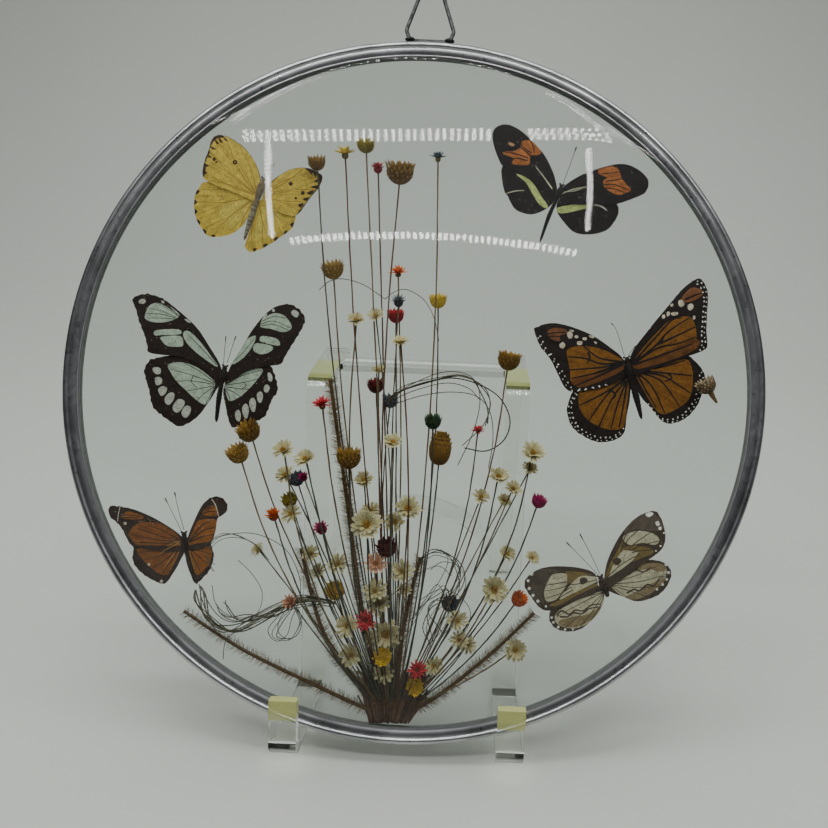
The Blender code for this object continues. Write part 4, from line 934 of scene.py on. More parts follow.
def bristle(base, way, length, radius):
    """A three-sided hair that keeps most of its thickness and ends in a point."""
    ring = three_corners(way, radius)
    points = np.vstack((base + ring, base + way * length * 0.6 + ring * 0.75, base + way * length))
    return points, [(0, 1, 4, 3), (1, 2, 5, 4), (2, 0, 3, 5), (3, 4, 6), (4, 5, 6), (5, 3, 6), (2, 1, 0)]


def spike(base, way, length, radius):
    """A thin three-sided spine."""
    ring = base + three_corners(way, radius)
    return np.vstack((ring, base + way * length)), [(0, 1, 3), (1, 2, 3), (2, 0, 3), (2, 1, 0)]


RING_SIDES = 6
STEP = 0.8 * MM
HAIR_RADIUS = 0.075 * MM
HAIR_BROWN = (0.20, 0.11, 0.04)
BARK_BROWN = (0.10, 0.055, 0.02)


def bristly_line(name, start):
    """The middle line of a CAD stem, ring by ring from its start, led on into the bouquet's foot."""
    points = node_points(name)
    order = np.argsort(np.linalg.norm(points - start, axis=1))
    rings = [points[order[:RING_SIDES]].mean(axis=0)]
    used = set(order[:RING_SIDES].tolist())
    while len(used) < len(points) - RING_SIDES / 2:
        rest = [i for i in range(len(points)) if i not in used]
        near = sorted(rest, key=lambda i: np.linalg.norm(points[i] - rings[-1]))[:RING_SIDES]
        rings.append(points[near].mean(axis=0))
        used.update(near)
    foot = np.append(seen_at(FOOT_PIXEL)[0][:2], rings[0][2])
    into_foot = (foot - rings[0]) / np.linalg.norm(foot - rings[0]) * 5 * MM
    line = smooth_line([rings[0] + into_foot] + rings, 8)
    return spots_along(line, np.arange(0, lengths_along(line)[-1], STEP))


def add_hairs(shape, line, radii, count):
    """Fine hairs that stand out from a stem and lean towards its tip, inside the glasses."""
    ways = ways_along(line)
    for number in range(count):
        i = 1 + number % (len(line) - 2)
        out = RNG.normal(size=3) * (1, 1, 0.35)
        out -= ways[i] * out.dot(ways[i])
        out /= np.linalg.norm(out)
        way = unit(out + ways[i] * RNG.uniform(0.1, 0.7))
        base = line[i] + (line[i + 1] - line[i]) * RNG.random() + out * radii[i] * 0.8
        length = RNG.uniform(1.8, 4.4) * MM
        tip = base + way * length
        if abs(tip[2]) + 0.15 * MM > glass_inside(np.hypot(tip[0], tip[1])):
            way[2] = 0
            way /= np.linalg.norm(way)
        points, faces = bristle(base, way, length, HAIR_RADIUS)
        shape.add(points, faces, np.array(HAIR_BROWN) * RNG.uniform(0.5, 1.3))


def make_bristly_stems():
    """The five stems that are covered in fine hairs."""
    for name, pixels, radius, hairs in BRISTLY_STEMS:
        line = bristly_line(name, seen_at(pixels[0])[0])
        knobbly = 1 + 0.1 * np.sin(np.arange(len(line)) * 1.9)
        radii = radius * (1.3 - 0.35 * np.linspace(0, 1, len(line))) * knobbly
        shape = Shape()
        points, faces = tube(line, radii, 10)
        shape.add(points, faces, np.array(BARK_BROWN))
        add_hairs(shape, line, radii, hairs)
        shape.build(name + "_dressed", STEM, "dry_stem", [name])


# Curly strands: pixels along each, height over the rim's plane and radius in millimetres; the first and
# the eighth are the CAD's own tendrils
STRANDS = (
    (((386, 402), (400, 391), (425, 383), (452, 378), (478, 384), (500, 398), (510, 420), (504, 440),
     (486, 451),
      (464, 448)), 17, 0.3),
    (((388, 399), (404, 386), (430, 379), (458, 376), (482, 385), (490, 402), (484, 424), (462, 446)),
     16, 0.22),
    (((392, 405), (420, 396), (450, 392), (476, 396), (490, 412), (493, 440), (488, 470)), 14, 0.2),
    (((390, 397), (412, 384), (444, 372), (470, 376), (480, 396), (474, 430), (457, 467)), 18, 0.2),
    (((392, 400), (416, 390), (446, 383), (468, 388), (480, 400)), 15.5, 0.2),
    (((319, 290), (330, 281), (344, 279), (364, 285), (385, 299)), 9, 0.18),
    (((385, 299), (396, 291), (408, 290), (424, 300), (434, 318), (439, 341)), 9, 0.18),
    (((332, 604), (310, 600), (288, 603), (262, 616), (238, 629), (218, 628), (203, 612), (195, 588)),
     3.2, 0.32),
    (((334, 607), (308, 604), (284, 609), (258, 622), (236, 632), (222, 628), (208, 614), (200, 594)),
     2.6, 0.22),
    (((330, 600), (300, 597), (276, 604), (250, 617), (232, 622), (215, 612), (199, 585)), 2.0, 0.2),
    (((336, 602), (306, 606), (280, 613), (256, 626), (240, 630), (226, 640), (223, 660)), 2.4, 0.18),
    (((210, 545), (222, 536), (250, 533), (274, 541), (290, 555), (300, 580), (300, 605)), 3.0, 0.17),
    (((300, 600), (292, 618), (287, 635), (276, 641), (268, 630), (280, 614)), 3.6, 0.17),
    (((238, 560), (252, 574), (262, 592), (258, 612), (240, 626)), 2.8, 0.15),
    (((212, 585), (216, 604), (232, 617), (254, 616), (276, 606), (296, 602)), 1.5, 0.18),
    (((430, 570), (442, 562), (458, 566), (466, 582), (458, 600), (440, 608), (432, 622)), 8, 0.16),
    (((420, 600), (438, 590), (456, 594), (470, 610), (466, 630), (448, 640)), 7, 0.16),
    (((404, 640), (420, 612), (440, 580), (448, 560), (440, 548)), 8, 0.16),
    (((380, 604), (398, 590), (418, 574), (438, 566), (452, 576)), 9, 0.15),
)


# Tangles: pixels of the middle strand, how many, their spread in pixels, height in millimetres, radius
TANGLES = (
    (((388, 402), (404, 389), (430, 380), (456, 377), (476, 384), (488, 402), (486, 428)), 2, 5.0, 15, 0.3),
    (((336, 604), (310, 600), (286, 604), (260, 617), (236, 629), (218, 626), (204, 610), (196, 588)),
     5, 8.0, 2.4,
     0.27),
    (((330, 600), (306, 598), (282, 606), (262, 618), (238, 622), (222, 606)), 4, 10.0, 2.6, 0.22),
    (((268, 560), (256, 546), (240, 538), (224, 536), (212, 542), (206, 556), (214, 568)), 3, 5.0, 2.0, 0.17),
    (((292, 600), (302, 622), (292, 638), (276, 636), (280, 618), (296, 606)), 3, 6.0, 2.6, 0.18),
    (((420, 560), (436, 552), (454, 560), (462, 578), (454, 596), (436, 604), (424, 624), (436, 644)),
     4, 10.0, 5.0,
     0.2),
    (((410, 620), (424, 600), (440, 588), (452, 598), (450, 620), (436, 640)), 3, 10.0, 5.0, 0.18),
)


STRAND_GREEN = (0.07, 0.062, 0.035)


def make_strands():
    """Single strands and tangles round a middle strand, all kept under the front glass."""
    shapes = {"tendril_upper": Shape(), "tendril_lower_left": Shape(), "": Shape()}
    rows = [(pixels, height, radius, 0.0) for pixels, height, radius in STRANDS]
    for pixels, count, spread, height, radius in TANGLES:
        for _ in range(count):
            rows.append((pixels, height * RNG.uniform(0.75, 1.1), radius * RNG.uniform(0.8, 1.15), spread))
    for number, (pixels, height, radius, spread) in enumerate(rows):
        line = smooth_line(np.array(pixels, dtype=float), 14)
        share = np.linspace(0, 1, len(line))
        for axis in (0, 1):
            waves = RNG.uniform(2, 9, 2)
            phases = RNG.uniform(0, 6, 2)
            sway = 0.6 * np.sin(waves[0] * share + phases[0]) + 0.4 * np.sin(waves[1] * share * 2 + phases[1])
            line[:, axis] += spread * sway * (0.25 + 0.75 * share)
        heights = height * MM + 0.5 * MM * np.sin(np.linspace(0, 9, len(line)) + number)
        near = seen_at(line, 0.0)
        room = glass_inside(np.hypot(near[:, 0], near[:, 1])) - 1.0 * MM
        points = seen_at(line, np.minimum(heights, room))
        node = {0: "tendril_upper", 7: "tendril_lower_left"}.get(number, "")
        even = np.arange(0, lengths_along(points)[-1], STEP)
        points = spots_along(points, even)
        twisted = radius * MM * (1 + 0.28 * np.sin(even / STEP * math.pi * 0.9))
        tube_points, faces = tube(points, twisted, 5)
        shapes[node].add(tube_points, faces, np.array(STRAND_GREEN) * RNG.uniform(0.5, 1.5))
    for node in ("tendril_upper", "tendril_lower_left"):
        shapes[node].build(node + "_dressed", STEM, "tendril", [node])
    shapes[""].build("fine_tendrils", STEM, "tendril")


def make_foot():
    """Cut stem ends drawn together in dark glue."""
    shape = Shape()
    for _ in range(230):
        x = RNG.uniform(-1, 1)
        z = RNG.uniform(-0.8, 0.9) * MM
        low = seen_at((389 + 19 * x + RNG.normal(0, 1.5), RNG.uniform(717, 723.5)), z * 0.4)[0]
        high = seen_at((393 + 36 * x, RNG.uniform(668, 700)), z)[0]
        middle = (low + high) / 2 + (0, 0, RNG.normal(0, 0.15) * MM)
        ring, faces = tube(smooth_line((low, middle, high), 4), RNG.uniform(0.3, 0.45) * MM, 6)
        tone = np.array((0.13, 0.07, 0.045)) if RNG.random() < 0.6 else np.array((0.07, 0.035, 0.025))
        shape.add(ring, faces, tone * RNG.uniform(0.5, 1.4))
    shape.build("bouquet_foot_dressed", STEM, "stem_foot", ["bouquet_foot"])


PALE_BUD = ((0.16, 0.10, 0.05), (0.58, 0.46, 0.30), BROWN[2])


def make_loose_bud():
    """The fallen flower head, with its short stub of stem."""
    points = node_points("loose_strawflower")
    centre = points.mean(axis=0)
    low, high = seen_at(((717, 403), (703, 381)), centre[2])
    axis = high - low
    shape = Shape()
    flower_head(shape, "cup", centre + axis * 0.1, axis, 22 * PIXEL, PALE_BUD)
    ring, faces = tube(np.array((low, low + axis * 0.3, centre)), np.array((0.5, 1.1, 1.6)) * MM, 9)
    shape.add(ring, faces, STEM_BROWN)
    shape.build("loose_strawflower_dressed", PETAL, "brown_petals", ["loose_strawflower"])


# Butterflies: outlines and markings as pixels of the photograph

BLACK = (0.012, 0.009, 0.008)
DARK = (0.035, 0.02, 0.012)
WHITE = (0.78, 0.77, 0.72)


def inside(points, polygon):
    """Whether each point lies in the polygon."""
    polygon = np.asarray(polygon, dtype=float)
    x, y = points[:, 0], points[:, 1]
    result = np.zeros(len(points), dtype=bool)
    for (x1, y1), (x2, y2) in zip(polygon, np.roll(polygon, -1, axis=0)):
        crosses = (y1 > y) != (y2 > y)
        with np.errstate(divide="ignore", invalid="ignore"):
            result ^= crosses & (x < (x2 - x1) * (y - y1) / (y2 - y1) + x1)
    return result


def strip(line, start_width, end_width=None):
    """The outline of a line drawn with a width."""
    line = np.asarray(line, dtype=float)
    ways = np.gradient(line, axis=0)
    ways /= np.linalg.norm(ways, axis=1)[:, None] + 1e-9
    sides = np.column_stack((-ways[:, 1], ways[:, 0]))
    end_width = start_width if end_width is None else end_width
    widths = np.linspace(start_width, end_width, len(line))[:, None] / 2
    return np.concatenate((line + sides * widths, (line - sides * widths)[::-1]))


def ellipse(centre, across, along=None, angle=0.0, count=10):
    turns = np.linspace(0, 2 * math.pi, count, endpoint=False)
    along = across if along is None else along
    x, y = np.cos(turns) * across, np.sin(turns) * along
    c, s = math.cos(angle), math.sin(angle)
    return np.column_stack((centre[0] + x * c - y * s, centre[1] + x * s + y * c))


def resampled(line, spacing):
    """Even points along a closed outline."""
    line = np.vstack((line, line[:1]))
    total = lengths_along(line)[-1]
    count = max(8, int(total / spacing))
    return spots_along(line, np.linspace(0, total, count, endpoint=False))


def inset(outline, widths):
    """The outline moved inwards by a width at each point."""
    ways = np.roll(outline, -1, axis=0) - np.roll(outline, 1, axis=0)
    ways /= np.linalg.norm(ways, axis=1)[:, None] + 1e-9
    normals = np.column_stack((-ways[:, 1], ways[:, 0]))
    middle = outline.mean(axis=0)
    if ((middle - outline) * normals).sum() < 0:
        normals = -normals
    return outline + normals * np.asarray(widths)[:, None]


EDGE_SPACING = 1.3
SPARE_SPACING = 1.9
WING_THICKNESS = 0.16 * MM
WING_RIPPLE = 0.05 * MM
WING_ARCH = 0.35 * MM


def wing_edge(outline, root, scallop):
    """The wing's outline with even points and a notched outer margin."""
    edge = resampled(smooth_line(outline, 5, closed=True), EDGE_SPACING)
    reach = np.linalg.norm(edge - root, axis=1)
    notch = np.abs(np.sin(np.arange(len(edge)) * 0.55)) + RNG.normal(0, 0.3, len(edge))
    return inset(edge, scallop * notch * np.clip(reach / reach.max() * 2 - 1, 0, 1))


def wing_faces(edge, layers):
    """Flat triangles that follow the edge and the outline of every marking."""
    loops = [edge] + [np.asarray(polygon) for polygon, _ in layers]
    low, high = edge.min(axis=0), edge.max(axis=0)
    columns = np.arange(low[0], high[0], SPARE_SPACING)
    rows = np.arange(low[1], high[1], SPARE_SPACING)
    spare = np.stack(np.meshgrid(columns, rows), -1).reshape(-1, 2)
    spare = spare + RNG.uniform(-0.6, 0.6, spare.shape)
    spare = spare[inside(spare, edge)]
    links = []
    start = 0
    for loop in loops:
        links += [(start + i, start + (i + 1) % len(loop)) for i in range(len(loop))]
        start += len(loop)
    points = np.concatenate(loops + [spare])
    flat, _, faces, _, _, _ = delaunay_2d_cdt([Vector(p) for p in points], links, [], 0, 1e-4)
    flat = np.array([tuple(p) for p in flat])
    faces = np.array(faces)
    centres = flat[faces].mean(axis=1)
    keep = inside(centres, edge)
    return flat, faces[keep], centres[keep]


def wing_colours(centres, layers, spec, root):
    """Each face's colour: the last marking that covers it, with streaks that run out from the root."""
    colours = np.tile(np.array(spec["ground"], dtype=float), (len(centres), 1))
    reach = np.linalg.norm(centres - root, axis=1)
    angle = np.arctan2(centres[:, 1] - root[1], centres[:, 0] - root[0])
    depth = spec["streak"]
    rays_out = 0.5 * np.sin(angle * 67 + reach * 0.03) + 0.3 * np.sin(angle * 31 - reach * 0.06)
    clouds = 0.5 * np.sin(centres[:, 0] * 0.31) * np.sin(centres[:, 1] * 0.27 + 1)
    streak = 1 + depth * (rays_out + clouds) + (0.03 + depth * 0.4) * RNG.normal(size=len(centres))
    for polygon, colour in layers:
        colours[inside(centres, polygon)] = colour
    return colours * streak[:, None]


def wing_mesh(outline, layers, spec, plane, height, root):
    """One wing as a thin, slightly arched and rippled sheet with its markings as coloured faces."""
    edge = wing_edge(outline, root, spec["scallop"])
    flat, faces, centres = wing_faces(edge, layers)
    colours = wing_colours(centres, layers, spec, root)
    used, faces = np.unique(faces, return_inverse=True)
    faces = faces.reshape(-1, 3)
    flat = flat[used]
    spots = on_plane(flat, plane, height)
    reach = np.linalg.norm(flat - root, axis=1)
    angle = np.arctan2(flat[:, 1] - root[1], flat[:, 0] - root[0])
    ripple = WING_RIPPLE * np.sin(angle * 34) * np.minimum(1, reach / 14)
    arch = WING_ARCH * np.sin(math.pi * reach / reach.max()) * (1 if height > 0 else 0.6)
    spots[:, 2] = height + ripple + arch
    top = place(spots, plane)
    bottom = place(spots - (0, 0, WING_THICKNESS), plane)
    first, second, third = top[faces[0]]
    if np.cross(second - first, third - first)[2] < 0:
        faces = faces[:, ::-1]
    under = faces[:, ::-1] + len(top)
    borders = {}
    for face in faces:
        for a, b in ((face[0], face[1]), (face[1], face[2]), (face[2], face[0])):
            borders[(a, b)] = borders.get((a, b), 0) + 1
    rim = [(b, a, a + len(top), b + len(top)) for (a, b) in borders if (b, a) not in borders]
    shape = Shape()
    underside = colours * 0.8 + 0.06
    shape.add(np.concatenate((top, bottom)), [tuple(f) for f in faces] + [tuple(f) for f in under] + rim,
              np.concatenate((colours, underside, np.tile(colours.mean(axis=0), (len(rim), 1)))))
    return shape


def node_plane(name, thorax, head, tail):
    """The plane of a specimen's wings, found from the flat faces of its node."""
    mesh = frame["nodes"][name].data
    back = np.linalg.inv(TO_WORLD)
    normals = np.array([p.normal for p in mesh.polygons]) @ back[:3, :3].T
    areas = np.array([p.area for p in mesh.polygons])
    spread = (normals * areas[:, None]).T @ normals
    normal = np.linalg.eigh(spread)[1][:, -1]
    normal = normal if normal[2] > 0 else -normal
    flat = np.abs(normals @ normal) > 0.999
    centres = place(np.array([p.center for p in mesh.polygons]), back)[flat]
    levels = centres @ normal
    middle = (levels.min() + levels.max()) / 2
    way = rays([thorax])[0]
    spot = EYE + way * (middle - EYE @ normal) / (way @ normal)
    heading = seen_at(head, spot[2])[0] - seen_at(tail, spot[2])[0]
    heading -= normal * heading.dot(normal)
    heading /= np.linalg.norm(heading)
    plane = np.eye(4)
    plane[:3, 0] = np.cross(heading, normal)
    plane[:3, 1] = heading
    plane[:3, 2] = normal
    plane[:3, 3] = spot
    return plane


# An insect's body from the tail: share of its length, and which width holds there, times a factor
BODY_SHARES = (0, 0.04, 0.33, 0.52, 0.56, 0.68, 0.84, 0.88, 0.95, 1.0)
BODY_WIDTHS = ((0, 0.4), (0, 1), (1, 1), (1, 0.82), (1, 0.8), (2, 1), (2, 0.85), (3, 0.7), (3, 0.85), (3,
                                                                                                       0.35))
ABDOMEN = 0.52
ABDOMEN_RINGS = 8
BODY_SIDES = 14
FUR_COUNT = 420
EYE_RADIUS = 0.55 * MM
EYE_BROWN = (0.03, 0.02, 0.015)
# An antenna's radius in millimetres at shares of its length, with the club at its tip
ANTENNA_SHARES = (0, 0.82, 0.93, 1)
ANTENNA_RADII = (0.13, 0.12, 0.34, 0.26)
ANTENNA_BROWN = (0.02, 0.015, 0.01)


def add_fur(shape, line, radii, plane, colour):
    """Short hairs on the upper side of the thorax and head, combed backwards."""
    ways = ways_along(line)
    for _ in range(FUR_COUNT):
        t = RNG.uniform(0.5, 0.97)
        i = min(int(t * (len(line) - 1)), len(line) - 2)
        out = RNG.normal(size=3)
        out[2] = abs(out[2])
        out -= ways[i] * out.dot(ways[i])
        out /= np.linalg.norm(out)
        way = unit(out * 0.7 - ways[i] * 0.8)
        base = line[i] + out * radii[i] * 0.9
        points, faces = spike(base, way, RNG.uniform(0.5, 1.3) * MM, 0.06 * MM)
        shape.add(place(points, plane), faces, np.array(colour) * RNG.uniform(0.5, 2.2))


def add_eyes(shape, snout, heading, head_width, plane):
    """A round eye on either side of the head."""
    side = np.cross(heading, (0, 0, 1))
    for direction in (-1, 1):
        centre = snout + side * direction * head_width * 0.75 + (0, 0, 0.2 * MM)
        eye = np.eye(4)
        eye[:3, 3] = centre - (0, 0, 0.5 * MM)
        ball = Shape()
        egg(ball, eye, EYE_RADIUS, 1.0, EYE_BROWN, 7, 10)
        shape.add(place(ball.points[0], plane), ball.faces, ball.colours[0])


def insect_body(spec, plane):
    """Ringed abdomen, furry thorax, head with eyes, and clubbed antennae."""
    shape = Shape()
    colours = spec["body_colours"]
    widths = [w / 2 * PIXEL for w in spec["widths"]]
    line = smooth_line(on_plane(spec["body"], plane), 12)
    share = np.linspace(0, 1, len(line))
    radii = np.interp(share, BODY_SHARES, [widths[which] * factor for which, factor in BODY_WIDTHS])
    rings = ABDOMEN_RINGS * 2 * math.pi / ABDOMEN
    radii = radii * np.where(share < ABDOMEN, 1 + 0.09 * np.cos(share * rings), 1)
    points, faces = tube(line, radii, BODY_SIDES)
    points[:, 2] *= 0.92
    ring_share = np.concatenate((np.repeat(share[:-1], BODY_SIDES), [0, 1]))
    ringed = np.where((np.sin(ring_share * rings) > 0.3) & (ring_share < ABDOMEN), 0.55, 1.0)
    tone = np.where(ring_share[:, None] < 0.5, colours[0], colours[1])
    shape.add(place(points, plane), faces, tone * ringed[:, None])
    add_fur(shape, line, radii, plane, colours[1])
    snout = on_plane([spec["body"][-1]], plane)[0]
    add_eyes(shape, snout, unit(line[-1] - line[-4]), widths[3], plane)
    for feeler in spec["antennae"]:
        line = on_plane(smooth_line(feeler, 8), plane, 0.5 * MM)
        thick = np.interp(np.linspace(0, 1, len(line)), ANTENNA_SHARES, ANTENNA_RADII) * MM
        points, faces = tube(line, thick, 7)
        shape.add(place(points, plane), faces, spec.get("antenna_colour", ANTENNA_BROWN))
    return shape


def radiating(root, ends, width, end_width, bow):
    """Veins from the wing's root to points on its margin, slightly bowed to either side in turn."""
    strips = []
    for number, end in enumerate(ends):
        first = np.array(root, dtype=float)
        middle = (first + end) / 2
        across = np.array((end[1] - first[1], first[0] - end[0])) * bow * (1 if number % 2 else -1) * 0.5
        strips.append(strip(smooth_line((first, middle + across, np.array(end)), 5), width, end_width))
    return strips


YELLOW_WING = (0.66, 0.48, 0.07)
YELLOW_PALE = (0.70, 0.54, 0.10)
BROWN_MARK = (0.055, 0.025, 0.012)


def dots(spots, colour, count=8):
    """Round spots as marking polygons."""
    return [(ellipse((x, y), r, count=count), colour) for x, y, r in spots]


def filled(polygons, colour, steps=3):
    return [(smooth_line(np.array(polygon, dtype=float), steps, closed=True), colour) for polygon in polygons]


def lines(paths, colour, width, end_width=None):
    return [(strip(smooth_line(np.array(path, dtype=float), 5), width, end_width), colour) for path in paths]


def flecks(outline, count, colours, size=0.5):
    """Tiny bits of lost or loose scales spread over a wing."""
    edge = np.array(outline, dtype=float)
    low, high = edge.min(axis=0), edge.max(axis=0)
    found = []
    while len(found) < count:
        spot = RNG.uniform(low, high)
        if inside(spot[None], edge)[0]:
            colour = colours[RNG.integers(len(colours))]
            found.append((ellipse(spot, size * RNG.uniform(0.6, 2.2), size * RNG.uniform(0.5, 1.1),
                                  RNG.uniform(0, 3), count=5), colour))
    return found


def dotted_margin(outline, start, end, rows, count, root):
    """White dots along part of a wing's margin, between two of its outline's points."""
    line = smooth_line(np.array(outline[start:end + 1], dtype=float), 8)
    whole = lengths_along(line)[-1]
    found = []
    for depth, radius, shift in rows:
        for k in range(count):
            spot = spots_along(line, (k + shift + RNG.uniform(-0.15, 0.15)) / count * whole)[0]
            way = np.array(root) - spot
            spot = spot + way / np.linalg.norm(way) * (depth + RNG.uniform(-0.4, 0.4))
            found.append((ellipse(spot, radius * RNG.uniform(0.6, 1.35), radius * RNG.uniform(0.6, 1.1),
                                  RNG.uniform(0, 3), 7), WHITE))
    return found


def yellow_specimen():
    left_fore = ((261, 183), (256.5, 165), (246.3, 149.6), (237.1, 141.9), (228, 136.8), (217.8, 134.8),
        (211.6, 139.4), (208.6, 149.6), (204.5, 160.8), (202.4, 171), (203.3, 177.1), (207, 181.2),
        (220.8, 187.3), (240, 195), (257, 201))
    left_hind = ((257, 194), (236, 186), (206.5, 181.7), (199.9, 186.3), (195.3, 193.5), (193.8, 203.7),
        (194.8, 213.9), (197.3, 222), (201.9, 229.2), (206.5, 235.3), (213.7, 237.3), (225.9, 235.8),
        (233.1, 233.3), (241.2, 227.1), (245.3, 222), (252, 208))
    right_fore = ((262, 198), (266, 188), (271.8, 181), (280, 175), (290.2, 169.5), (301.4, 167.4),
        (311.6, 169), (319.8, 173.1), (322.9, 177.1), (321.3, 183.3), (317.8, 189.4), (311.6, 196.5),
        (305.5, 204.7), (300.4, 211.8), (295.3, 215.9), (287.1, 214.9), (276, 211), (262, 204))
    right_hind = ((260, 200), (275, 205), (294.8, 214), (293.3, 226.1), (289.2, 231.2), (282, 236.3),
        (271.8, 243.5), (262.7, 248.6), (255.5, 251.6), (250.4, 252.1), (245.8, 249.1), (244.8, 244.5),
        (249.4, 231.2), (254.5, 216.9))
    root = (257.5, 196)
    streaks = (0.42, 0.27, 0.045)

    def fine(ends):
        return [(s, streaks) for s in radiating(root, ends, 1.1, 0.6, 0.1)]

    fore_l = fine(((214, 138), (209, 150), (205, 160), (203, 170), (206, 180), (226, 138), (240, 146)))
    fore_l += lines((((262, 186), (257, 165), (247, 150), (237, 141.6), (228, 136.6), (218, 134.6)),),
        BROWN_MARK, 1.1, 1.7)
    fore_l += filled((((222, 133.5), (217, 132.5), (210, 138), (206, 152), (202, 163), (200.6, 174),
        (203.5, 178.5), (205.4, 171), (206.2, 166), (205.2, 163), (208.2, 156), (210, 152.4),
        (209.4, 149.6), (212.4, 143.5), (214, 141), (218.5, 138), (224, 137.6)),), BROWN_MARK, 2)
    fore_l += filled((((214, 138), (219, 144), (216, 143.4)), ((218, 136), (223.5, 143), (220, 142)),
        ((223, 136), (228.5, 141.5), (225, 140.5)), ((210, 146), (216.6, 149.4), (212, 149.4)),
        ((207, 154), (212.6, 157.6), (208.6, 157.6)), ((204, 163), (209.4, 166), (205, 166.6)),
        ((203, 170), (207.6, 173), (203.4, 174))), BROWN_MARK, 2)
    fore_l += dots(((235.1, 162.3, 2.5), (214.2, 159.3, 1.9), (216.4, 162, 1.2)), BROWN_MARK)
    fore_l += dots(((235.1, 162.3, 0.8),), (0.35, 0.22, 0.06))
    hind_l = filled((((252, 204), (240, 200), (224, 204), (220, 216), (230, 228), (242, 220)),),
        YELLOW_PALE)
    hind_l += fine(((196, 190), (194.5, 202), (196, 216), (202, 229), (212, 236.5), (226, 235), (240, 227)))
    hind_l += dots(((221.8, 198.1, 2), (217.8, 196.3, 1.3)), (0.36, 0.22, 0.05))
    hind_l += dots(((221.8, 198.1, 1.2), (217.8, 196.3, 0.7)), YELLOW_PALE)
    hind_l += filled((((195, 189), (200, 191.5), (195.4, 195)), ((193, 199), (197.6, 202), (193.4, 205)),
        ((193, 208), (197.8, 211.5), (194, 214.5)), ((196, 219), (200.6, 222), (198, 226)), ((202, 229),
        (206.6, 231), (205, 235)), ((211, 235), (215.6, 235), (213.5, 238))), BROWN_MARK, 2)
    fore_r = fine(((304, 168), (314, 171), (321, 179), (317, 190), (308, 201), (300, 211), (290, 214)))
    fore_r += lines((((268, 186), (280, 174.8), (290.2, 169.2), (301.4, 167), (311.6, 168.6)),),
        BROWN_MARK, 1, 1.6)
    fore_r += filled((((303, 165.8), (312, 167.5), (320, 172), (324.5, 177.5), (322, 184), (318, 190.5),
        (311, 199), (301, 213), (296.5, 217), (298.2, 212), (302.5, 206.8), (305.4, 202.8), (309, 198.6),
        (312.6, 193.4), (315.4, 189.8), (317.2, 187.8), (318, 184.4), (318.6, 180.8), (318, 177),
        (315.2, 174.2), (311.6, 172.8), (307, 170.4)),), BROWN_MARK, 2)
    fore_r += filled((((310, 169), (313, 176.4), (309.4, 172)), ((315, 171), (316.4, 178), (313, 173)),
        ((320, 178), (313.6, 181.6), (319, 182)), ((318, 185), (309.6, 187), (316.5, 188.6)), ((314, 190),
        (306.5, 192.8), (311, 195)), ((309, 197), (302.4, 199), (306.5, 201)), ((304, 203), (298, 204.5),
        (301, 208))), BROWN_MARK, 2)
    fore_r += dots(((290.7, 183.8, 2.2), (302.8, 193, 2.1), (295.8, 198.2, 1.4)), BROWN_MARK)
    hind_r = filled((((262, 206), (276, 211), (281, 222), (268, 233), (254, 240), (257, 222)),),
        YELLOW_PALE)
    hind_r += fine(((292, 227), (283, 235), (272, 243), (262, 248.5), (252, 251), (246, 246)))
    hind_r += dots(((270.5, 214.8, 1.6), (274.4, 214.8, 1.2)), (0.40, 0.25, 0.06))
    hind_r += filled((((294, 222), (290, 224.6), (293.4, 228)), ((288, 230), (283.6, 232), (285, 235.5)),
        ((279, 236.5), (273.8, 238), (275, 241.6)), ((268, 243.5), (263, 244.6), (264.6, 248.4)),
        ((257, 248), (252.6, 248.8), (254.5, 252))), BROWN_MARK, 2)
    return {
        "node": "yellow_butterfly", "slot": "yellow_butterfly_scales", "ground": YELLOW_WING,
        "body": ((244.2, 240), (251, 218), (259.8, 191), (264, 178)), "widths": (3, 6.5, 8, 5),
        "body_colours": ((0.30, 0.27, 0.18), (0.20, 0.16, 0.10)),
        "antennae": (((266, 178), (270, 169), (274.5, 164)),), "antenna_colour": (0.12, 0.08, 0.04),
        "fore": ((left_fore, fore_l), (right_fore, fore_r)),
        "hind": ((left_hind, hind_l), (right_hind, hind_r)), "root": root, "streak": 0.16, "scallop": 0.35,
    }


